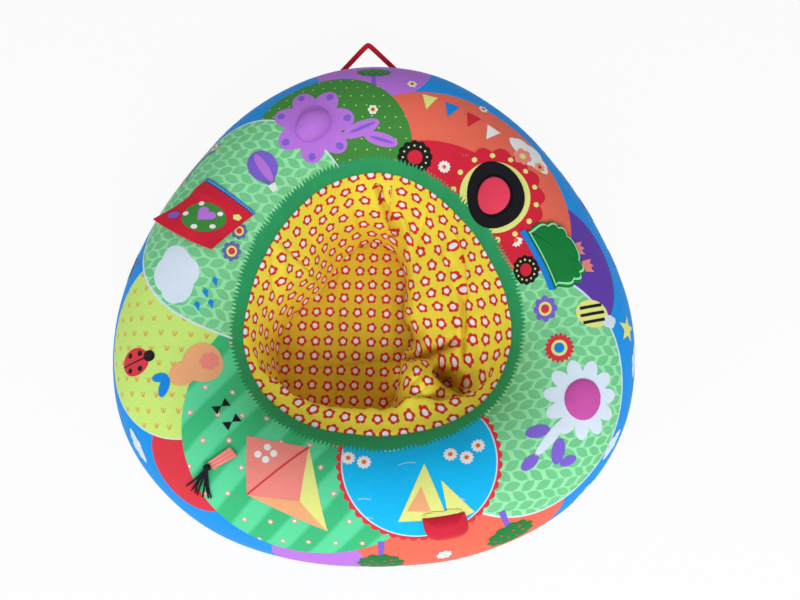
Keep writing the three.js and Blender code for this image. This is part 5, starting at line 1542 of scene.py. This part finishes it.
def pictures():
    """Every printed shape of the cover, on its flat plan: outline, layer and dye."""
    shapes = []
    # A big lilac flower whose heart is the squeaking dome, with darker petal tips and leaves
    shapes += petal_ring(-112, 306, 42, 29, 21, 7, "lilac", 0, 12)
    shapes += [(blob(-112, 306, 44, 38), 0, "lilac")]
    shapes += petal_ring(-112, 306, 59, 7, 6, 7, "grape", 1, 12)
    shapes += [(blob(-30, 300, 34, 13, 24), 0, "lilac"), (blob(4, 282, 30, 12, -16), 0, "lilac")]
    shapes += [(blob(-28, 302, 24, 3, 24), 1, "grape"), (blob(6, 281, 21, 3, -16), 1, "grape")]
    # A red wheel of scallops round the black ring, with two small ones beside it on a red garland
    shapes += [(blob(197, 176, 84, petals=14, swing=0.06, steps=140), 1, "toy_red")]
    shapes += [(blob(197, 176, 62), 2, "sail_yellow"), (blob(197, 176, 46), 3, "ink_black")]
    shapes += petal_ring(197, 176, 73, 4.6, 4.6, 14, "sail_yellow", 2, 12.9)
    for x, y, r in ((62, 250, 29), (243, 50, 23)):
        shapes += [(blob(x, y, r, petals=12, swing=0.05, steps=96), 1, "ink_black")]
        shapes += [(blob(x, y, r * 0.45), 2, "toy_red")]
        shapes += petal_ring(x, y, r * 0.72, 1.7, 1.7, 12, "sail_yellow", 2)
    # Bunting over the coral field and a white cloud
    for k, key in enumerate(("sail_yellow", "tape_blue", "toy_red", "white")):
        angle = rad(76 - 6.6 * k)
        reach = 366 - 3 * k
        shapes.append((facets(reach * np.cos(angle), reach * np.sin(angle), [(-14, 10), (14, 10), (0, -20)],
                              np.degrees(angle) - 90), 1, key))
    shapes += cloud(266, 258, 92, 50, -44, "white")
    shapes += [(blob(252, 252, 17, 15, 40, 6, 0.14), 2, "salmon"), (blob(252, 252, 6), 3, "sail_yellow"),
               (blob(284, 236, 10, 9, 20, 6, 0.14), 2, "peach"), (blob(284, 236, 4), 3, "toy_red")]
    # A purple balloon with its basket over the left leaf field
    shapes += [(blob(-196, 226, 25, 29, 35), 0, "grape"), (blob(-194, 223, 8, 28, 35), 1, "lilac")]
    shapes += [(facets(-176, 190, [(-7, 6), (7, 6), (5, -7), (-5, -7)], 35), 0, "white")]
    shapes += [(facets(-183, 202, [(-14, 5), (14, 5), (6, -7), (-6, -7)], 35), 0, "slate")]
    # A big pale cloud with blue drops
    shapes += cloud(-322, 36, 96, 74, 100, "sky_white")
    for x, y in ((-276, 8), (-262, 28), (-288, -14), (-266, -8)):
        shapes.append((facets(x, y, [(-5, -2), (0, -7), (5, -2), (0, 10)], 200), 0, "tape_blue"))
    # Flowers on the left, a ladybird on the lime field and a pear beside it
    shapes += folk_flower(-238, 78, 15, "slate") + folk_flower(-228, 112, 13, "slate")
    shapes += [(blob(-385, -108, 27, 22, 20), 0, "crescent_red"), (blob(-359, -98, 10, 9), 0, "ink_black"),
               (facets(-385, -108, [(-27, -1.2), (27, -1.2), (27, 1.2), (-27, 1.2)], 20), 1, "ink_black")]
    for x, y in ((-396, -98), (-376, -94), (-394, -122), (-374, -118)):
        shapes.append((blob(x, y, 4.4, steps=24), 1, "ink_black"))
    shapes += [(blob(-272, -104, 34, 31, 30), 0, "peach"), (blob(-302, -124, 23, 19, 32), 0, "peach"),
               (blob(-262, -100, 16, 13, 30, 7, 0.12), 1, "salmon")]
    shapes += [(blob(-330, -146, 17, 8, 75), 1, "tape_blue"), (blob(-338, -132, 13, 7, 10), 1, "tape_blue")]
    # A salmon kite whose tail is the ribbon tab, with a cross and bows
    shapes += [(facets(-152, -272, [(-72, 0), (0, 64), (122, 0), (0, -56)], -50), 0, "salmon")]
    shapes += [(facets(-152, -272, [(58, 0), (0, 64), (122, 0)], -50), 1, "sail_yellow"),
               (facets(-152, -272, [(58, 0), (0, -56), (122, 0)], -50), 1, "peach"),
               (facets(-152, -272, [(-1.5, -56), (1.5, -56), (1.5, 64), (-1.5, 64)], -50), 1, "crescent_red")]
    for x, y in ((-180, -246), (-166, -234), (-168, -254), (-156, -244)):
        shapes += [(blob(x, y, 5.5, steps=32), 1, "white")]
    for x, y, turn in ((-240, -172, 40), (-222, -196, 40)):
        shapes += [(facets(x, y, [(-13, 8), (0, 0), (-13, -8)], turn), 0, "ink_black"),
                   (facets(x, y, [(13, 8), (0, 0), (13, -8)], turn), 0, "ink_black")]
    # A boat on the pond: two sails over the padded tongue, which is its hull
    shapes += [(facets(70, -310, [(-42, -34), (34, -42), (10, 50)], 8), 0, "sail_yellow"),
               (facets(66, -312, [(-22, -18), (14, -24), (4, 16)], 8), 1, "peach"),
               (facets(118, -318, [(-16, -34), (26, -26), (-10, 36)], 16), 0, "sail_yellow")]
    for x, y in ((-43, -249), (-19, -256), (113, -245), (138, -251), (156, -232)):
        shapes += daisy(x, y, 10)
    # White daisy round the oval pad, with a stem of purple leaves
    shapes += petal_ring(325, -166, 44, 20, 12.5, 11, "sky_white", 0, 5)
    shapes += [(blob(325, -166, 38, 36), 0, "sky_white")]
    shapes += [(blob(272, -222, 40, 8, 48), 0, "sky_white"), (blob(250, -214, 20, 10, 10), 0, "grape"),
               (blob(282, -246, 21, 11, 78), 0, "grape"), (blob(236, -262, 17, 9, 40), 0, "grape"),
               (blob(300, -262, 15, 8, 20), 0, "grape")]
    # Folk flowers, a striped balloon and tulips on the right
    shapes += folk_flower(272, -16, 19, "grape") + folk_flower(292, -82, 22, "crescent_red", 18)
    shapes += [(blob(352, -28, 23, 29, 80), 0, "sail_yellow")]
    for shift in (-12, 0, 12):
        reach = 22 * np.sqrt(1 - (shift / 29) ** 2)
        shapes.append((facets(352 - shift * 0.17, -28 + shift, [(-reach, -2.6), (reach, -2.6), (reach, 2.6),
                                                                 (-reach, 2.6)], 10), 1, "ink_black"))
    shapes += cloud(384, -42, 26, 22, 20)
    tulip = [(-9, -10), (9, -10), (12, 10), (5, 3), (0, 12), (-5, 3), (-12, 10)]
    shapes += [(facets(x, y, tulip, -80), 0, "salmon") for x, y in ((338, 84), (352, 54))]
    shapes += daisy(112, 232, 10) + daisy(230, 100, 10)
    # A plain star on the outer band, clouds and trees round it
    star = [(r * np.cos(rad(36 * k)), r * np.sin(rad(36 * k))) for k, r in enumerate((25, 11) * 5)]
    shapes += [(facets(430, -50, star, 12, each=5), 0, "sail_yellow")]
    for x, y, turn in ((-392, -244, 114), (458, -104, 78), (400, -246, 52), (372, -334, 38), (372, 252, -58),
                       (456, 84, -80), (-300, 330, 40)):
        shapes += cloud(x, y, 62, 24, turn)
    for x, y, turn, size, tall in ((-9, 402, 0, 1, 15), (8, -405, 180, 1.25, 24), (203, -356, 208, 1.3, 22),
                                   (392, 190, -66, 1, 20), (-430, 66, 80, 1, 15)):
        shapes += tree(x, y, turn, size, tall)
    shapes += daisy(112, -424, 12, 8, "sky_white", "sail_yellow")
    for x, y in ((-300, 286), (60, 392), (318, 296), (-10, 334), (190, 352)):
        shapes += folk_flower(x, y, 8, "white", 6)
    return shapes


def build_pictures():
    """All printed pictures in one thin piece that follows the cover."""
    parts = [inked_shape(*each) for each in pictures()]
    bows = []
    for radius, key in ((58, "crescent_red"), (50, "sail_yellow"), (42, "tape_blue")):
        bows.append(banded(*crescent(-306, 232, radius, 8, 70, 200), 0, key))
    bows.append(banded(*crescent(0, 0, 258, 96, 9, 82, 90), 0, "toy_red"))
    obj = piece("printed_pictures", together(parts + bows), material("pictures"), merge=False)
    facing_out(obj)


def facing_out(obj):
    """Turns each face that looks into the tube over: a face looks out where its normal points away from the nearest
    point of the tube's centre line."""
    mesh = obj.data
    count = len(mesh.polygons)
    place = face_vectors(mesh, "center") / MILLIMETRE - np.array(FRAME_SHIFT)
    turn = np.arctan2(place[:, 1], place[:, 0])
    reach = centre_radius(turn)
    core = np.stack([reach * np.cos(turn), reach * np.sin(turn), np.full(count, CENTRE_HEIGHT)], -1)
    inward = ((place - core) * face_vectors(mesh, "normal")).sum(1) < 0
    work = bmesh.new()
    work.from_mesh(mesh)
    bmesh.ops.remove_doubles(work, verts=work.verts, dist=MERGE_DISTANCE)
    work.faces.ensure_lookup_table()
    if len(work.faces) == count:
        bmesh.ops.reverse_faces(work, faces=[f for f, wrong in zip(work.faces, inward) if wrong])
    work.to_mesh(mesh)
    work.free()
    mesh.shade_smooth()


def build_seams():
    """Stitching along the opening's seam, round both edges of the black ring and along the square flap's tape."""
    turn = round_steps(1399)
    lean = opening_lean(turn) - 4.5 / MEAN_HALF
    stitch_line("opening_stitches", skin(turn, lean, cover_lift(turn, lean) + 0.1), "grass", "nest")
    for name, radius in (("black_ring_stitches", RING_OUTER - 2.5), ("black_ring_inner_stitches", RING_INNER + 2.5)):
        stitch_line(name, lay(DISC, *disc_circle(radius, 499), 2.5), "ink_black", "nest")
    x = np.linspace(-52, 52, 200)
    stitch_line("binding_stitches", lay(SQUARE_FLAP, x, x * 0 - 3.3, FACET_GAP + 2.2), "sky_white", "nest")


# ---------------------------------------------------------------- stage

CAMERA_PLACE = Vector((0.0092, -0.2539, 1.1773))
CAMERA_TARGET = Vector((0.0407, -0.0210, 0.128))
CAMERA_ROLL = 0.146
CAMERA_LENS, SENSOR_WIDTH = 26.0, 36.0
FLOOR_REACH, FLOOR_DROP = 12.0, -0.0004
FLOOR_GLOW = 0.91  # share of plain white in what the camera sees of the floor
WORLD_LIGHT = 0.4  # strength of the world's light on the nest; the camera sees it at full strength
LAMP_TARGET = (0, 0, 0.1)
LAMPS = (  # name, place, share of the lamp power, size
    ("main_lamp", (0.25, -1.9, 1.9), 1.75, 0.9),
    ("side_lamp", (-2.0, -1.0, 1.5), 0.8, 1.2),
    ("other_side_lamp", (1.9, -0.8, 1.6), 0.6, 1.4),
)


def seen_plainly(tree):
    """At least 1 where the camera, a reflection or a clear piece looks straight at the backdrop, 0 for its light."""
    path = node(tree, "ShaderNodeLightPath")
    seen = [Wire(tree, path.outputs[k]) for k in ("Is Camera Ray", "Is Glossy Ray", "Is Transmission Ray")]
    return seen[0] + seen[1] + seen[2]


def stage_material():
    """Pale floor: plain and matt, mostly white to the camera and to reflections, with the nest's shadow kept."""
    made, tree, shader, _ = new_material("pale floor", 0.9)
    shader.inputs["Base Color"].default_value = dye("floor")
    glow = node(tree, "ShaderNodeEmission", {"Color": (1, 1, 1, 1), "Strength": 1.0})
    share = seen_plainly(tree).step("MULTIPLY", FLOOR_GLOW, clamp=True)
    mix = node(tree, "ShaderNodeMixShader", {"Fac": share, 1: shader.outputs[0], 2: glow.outputs[0]})
    tree.links.new(mix.outputs[0], tree.nodes["Material Output"].inputs["Surface"])
    return made


def lamp(name, place, share, size):
    data = bpy.data.lights.new(name, "AREA")
    data.energy, data.size = sizes().lamp_power * share, size
    obj = bpy.data.objects.new(name, data)
    bpy.context.scene.collection.objects.link(obj)
    obj.location = place
    obj.rotation_mode = "QUATERNION"
    obj.rotation_quaternion = (Vector(LAMP_TARGET) - Vector(place)).to_track_quat("-Z", "Y")
    return obj


def build_stage():
    """Floor, lamps, world and the camera at the photograph's angle."""
    mesh = bpy.data.meshes.new("floor")
    corners = [(x * FLOOR_REACH, y * FLOOR_REACH, FLOOR_DROP) for x, y in ((-1, -1), (1, -1), (1, 1), (-1, 1))]
    mesh.from_pydata(corners, [], [(0, 1, 2, 3)])
    floor = bpy.data.objects.new("floor", mesh)
    mesh.materials.append(stage_material())
    scene = bpy.context.scene
    scene.collection.objects.link(floor)
    [lamp(*each) for each in LAMPS]
    scene.world = bpy.data.worlds.new("soft studio")
    scene.world.use_nodes = True
    tree = scene.world.node_tree
    ground = tree.nodes["Background"]
    level = seen_plainly(tree).step("MULTIPLY", 1 - WORLD_LIGHT, clamp=True) + WORLD_LIGHT
    ground.inputs["Color"].default_value = (1, 1, 1, 1)
    feed(tree, level, ground.inputs["Strength"])
    scene.view_settings.view_transform = "Standard"
    data = bpy.data.cameras.new("photo_camera")
    data.lens, data.sensor_width = CAMERA_LENS, SENSOR_WIDTH
    camera = bpy.data.objects.new("photo_camera", data)
    scene.collection.objects.link(camera)
    ahead = (CAMERA_TARGET - CAMERA_PLACE).normalized()
    right = ahead.cross(Vector((0, 1, 0))).normalized()
    up = right.cross(ahead)
    turned = Matrix((right, up, -ahead)).transposed() @ Matrix.Rotation(float(rad(-CAMERA_ROLL)), 3, "Z")
    camera.matrix_world = Matrix.Translation(CAMERA_PLACE) @ turned.to_4x4()
    scene.camera = camera


CLOTHS = (  # key, name, dye, roughness, buckling
    ("base", "base cloth", "base_blue", 0.8, 0.0006),
    ("wadding", "wadding fleece", "fill_white", 0.95, 0.002),
    ("toy_red", "red flap cloth", "toy_red", 0.6, 0.0012),
    ("tape", "blue binding tape", "tape_blue", 0.6, 0.0006),
    ("ribbon", "satin ribbon", "tape_blue", 0.35, 0.0006),
    ("bush", "scalloped flap cloth", "bush_green", 0.65, 0.0012),
    ("dome", "dome jersey", "lilac", 0.65, 0.0006),
    ("oval", "oval pad cloth", "magenta", 0.6, 0.0006),
    ("black", "black ring cloth", "ink_black", 0.75, 0.0006),
    ("pad", "press pad cloth", "pad_pink", 0.6, 0.0006),
    ("tongue", "tongue satin", "toy_red", 0.4, 0.001),
    ("pale", "trim felt", "sail_yellow", 0.7, 0.0006),
    ("salmon", "tab ribbon", "salmon", 0.5, 0.0006),
    ("cord_black", "tassel cord", "ink_black", 0.6, 0.0006),
    ("loop", "carry loop tape", "loop_red", 0.7, 0.0006),
    ("nylon_tape", "zip tape", "nylon", 0.7, 0.0006),
    ("thread_grass", "green thread", "grass", 0.7, 0.0006),
    ("thread_toy_red", "red thread", "toy_red", 0.7, 0.0006),
    ("thread_ink_black", "black thread", "ink_black", 0.7, 0.0006),
    ("thread_sky_white", "white thread", "sky_white", 0.7, 0.0006),
)
MOULDINGS = (  # key, name, dye, roughness, metal, grain
    ("vinyl", "ring vinyl", "vinyl", 0.3, 0.0, 0.00008),
    ("film", "crinkle film", "film", 0.2, 0.0, 0.00008),
    ("plastic", "squeaker plastic", "squeak_white", 0.45, 0.0, 0.00008),
    ("nylon", "zip nylon", "nylon", 0.4, 0.0, 0.00008),
    ("metal", "zip metal", "steel", 0.3, 1.0, 0.00003),
)
KEPT_NODES = {  # the packed model's own meshes that stay, by finish
    "nylon": ("zip_teeth_front", "zip_teeth_rear"),
    "metal": ("zip_stop_left", "zip_stop_right", "zip_slider", "zip_pull"),
    "plastic": ("valve_stem", "valve_plug"),
}


def build_materials():
    """The node groups and every cloth, tape and moulded finish, and the finishes of the packed nodes that stay."""
    for make in (weave_group, wear_group, spots_group, leaf_group, tufts_group, flower_group, grain_group):
        make()
    MATERIALS.update({"cover": cover_material(), "pictures": print_material(), "liner": liner_material()})
    for key, name, colour, rough, buckle in CLOTHS:
        MATERIALS[key] = cloth(name, colour, rough, buckle)
    for key, *finish in MOULDINGS:
        MATERIALS[key] = moulded(*finish)
    for key, names in KEPT_NODES.items():
        for name in names:
            mesh = frame["nodes"][name].data
            mesh.materials.clear()
            mesh.materials.append(material(key))


# ---------------------------------------------------------------- operators and panel

def operator(key, label, note, builder):
    """An operator class for one builder."""
    def execute(self, context):
        builder()
        return {"FINISHED"}
    return type(f"NEST_OT_{key}", (bpy.types.Operator,), {
        "__doc__": note, "bl_idname": f"nest.{key}", "bl_label": label, "execute": execute,
    })


OPERATORS = [
    operator("materials", "Materials", "Mix every cloth, tape and plastic of the nest", build_materials),
    operator("ring_cover", "Ring Cover", "Sew the printed cover over the ring", build_ring_cover),
    operator("base_cover", "Base Cover", "Sew the base with its zip tapes", build_base_cover),
    operator("air_ring", "Air Ring", "Weld the vinyl air ring", build_air_ring),
    operator("seat_well", "Seat Well", "Hang the seat well's wall and floor", build_seat_well),
    operator("square_flap", "Square Flap", "Sew the square flap and its tape", build_square_flap),
    operator("leaf_flap", "Scalloped Flap", "Sew the scalloped flap and its ribbon", build_leaf_flap),
    operator("dome", "Squeaking Dome", "Fill and sew the squeaking dome", build_dome),
    operator("press_disc", "Press Disc", "Sew the black ring and its press pad", build_press_disc),
    operator("tongue", "Tongue", "Stuff and sew the tongue with its trim", build_tongue),
    operator("tab_and_tassel", "Tab and Tassel", "Sew the ribbon tab and tie the tassel", build_tab_and_tassel),
    operator("oval", "Oval Pad", "Sew the low oval pad", build_oval),
    operator("carry_loop", "Carry Loop", "Fold and sew the carry loop", build_carry_loop),
    operator("pictures", "Printed Pictures", "Print the pictures on the cover", build_pictures),
    operator("seams", "Seams", "Stitch the seams", build_seams),
    operator("stage", "Stage", "Set up floor, lamps and camera", build_stage),
]


class NEST_PT_panel(bpy.types.Panel):
    """Lists the nest's pieces, sizes and colours"""
    bl_idname = "NEST_PT_panel"
    bl_label = "Play Nest"
    bl_space_type = "VIEW_3D"
    bl_region_type = "UI"
    bl_category = "Play Nest"

    def draw(self, context):
        layout = self.layout
        for made in OPERATORS:
            layout.operator(made.bl_idname)
        for settings in (context.scene.nest_sizes, context.scene.nest_colours):
            column = layout.column(align=True)
            for key in settings.bl_rna.properties.keys():
                if key not in ("rna_type", "name"):
                    column.prop(settings, key)


CLASSES = [NestColours, NestSizes, *OPERATORS, NEST_PT_panel]


def register():
    for made in CLASSES:
        bpy.utils.register_class(made)
    bpy.types.Scene.nest_colours = bpy.props.PointerProperty(type=NestColours)
    bpy.types.Scene.nest_sizes = bpy.props.PointerProperty(type=NestSizes)


def unregister():
    del bpy.types.Scene.nest_sizes
    del bpy.types.Scene.nest_colours
    for made in reversed(CLASSES):
        bpy.utils.unregister_class(made)


def main():
    register()
    for made in OPERATORS:
        getattr(bpy.ops.nest, made.bl_idname.split(".")[1])()


if __name__ == "__main__":
    main()
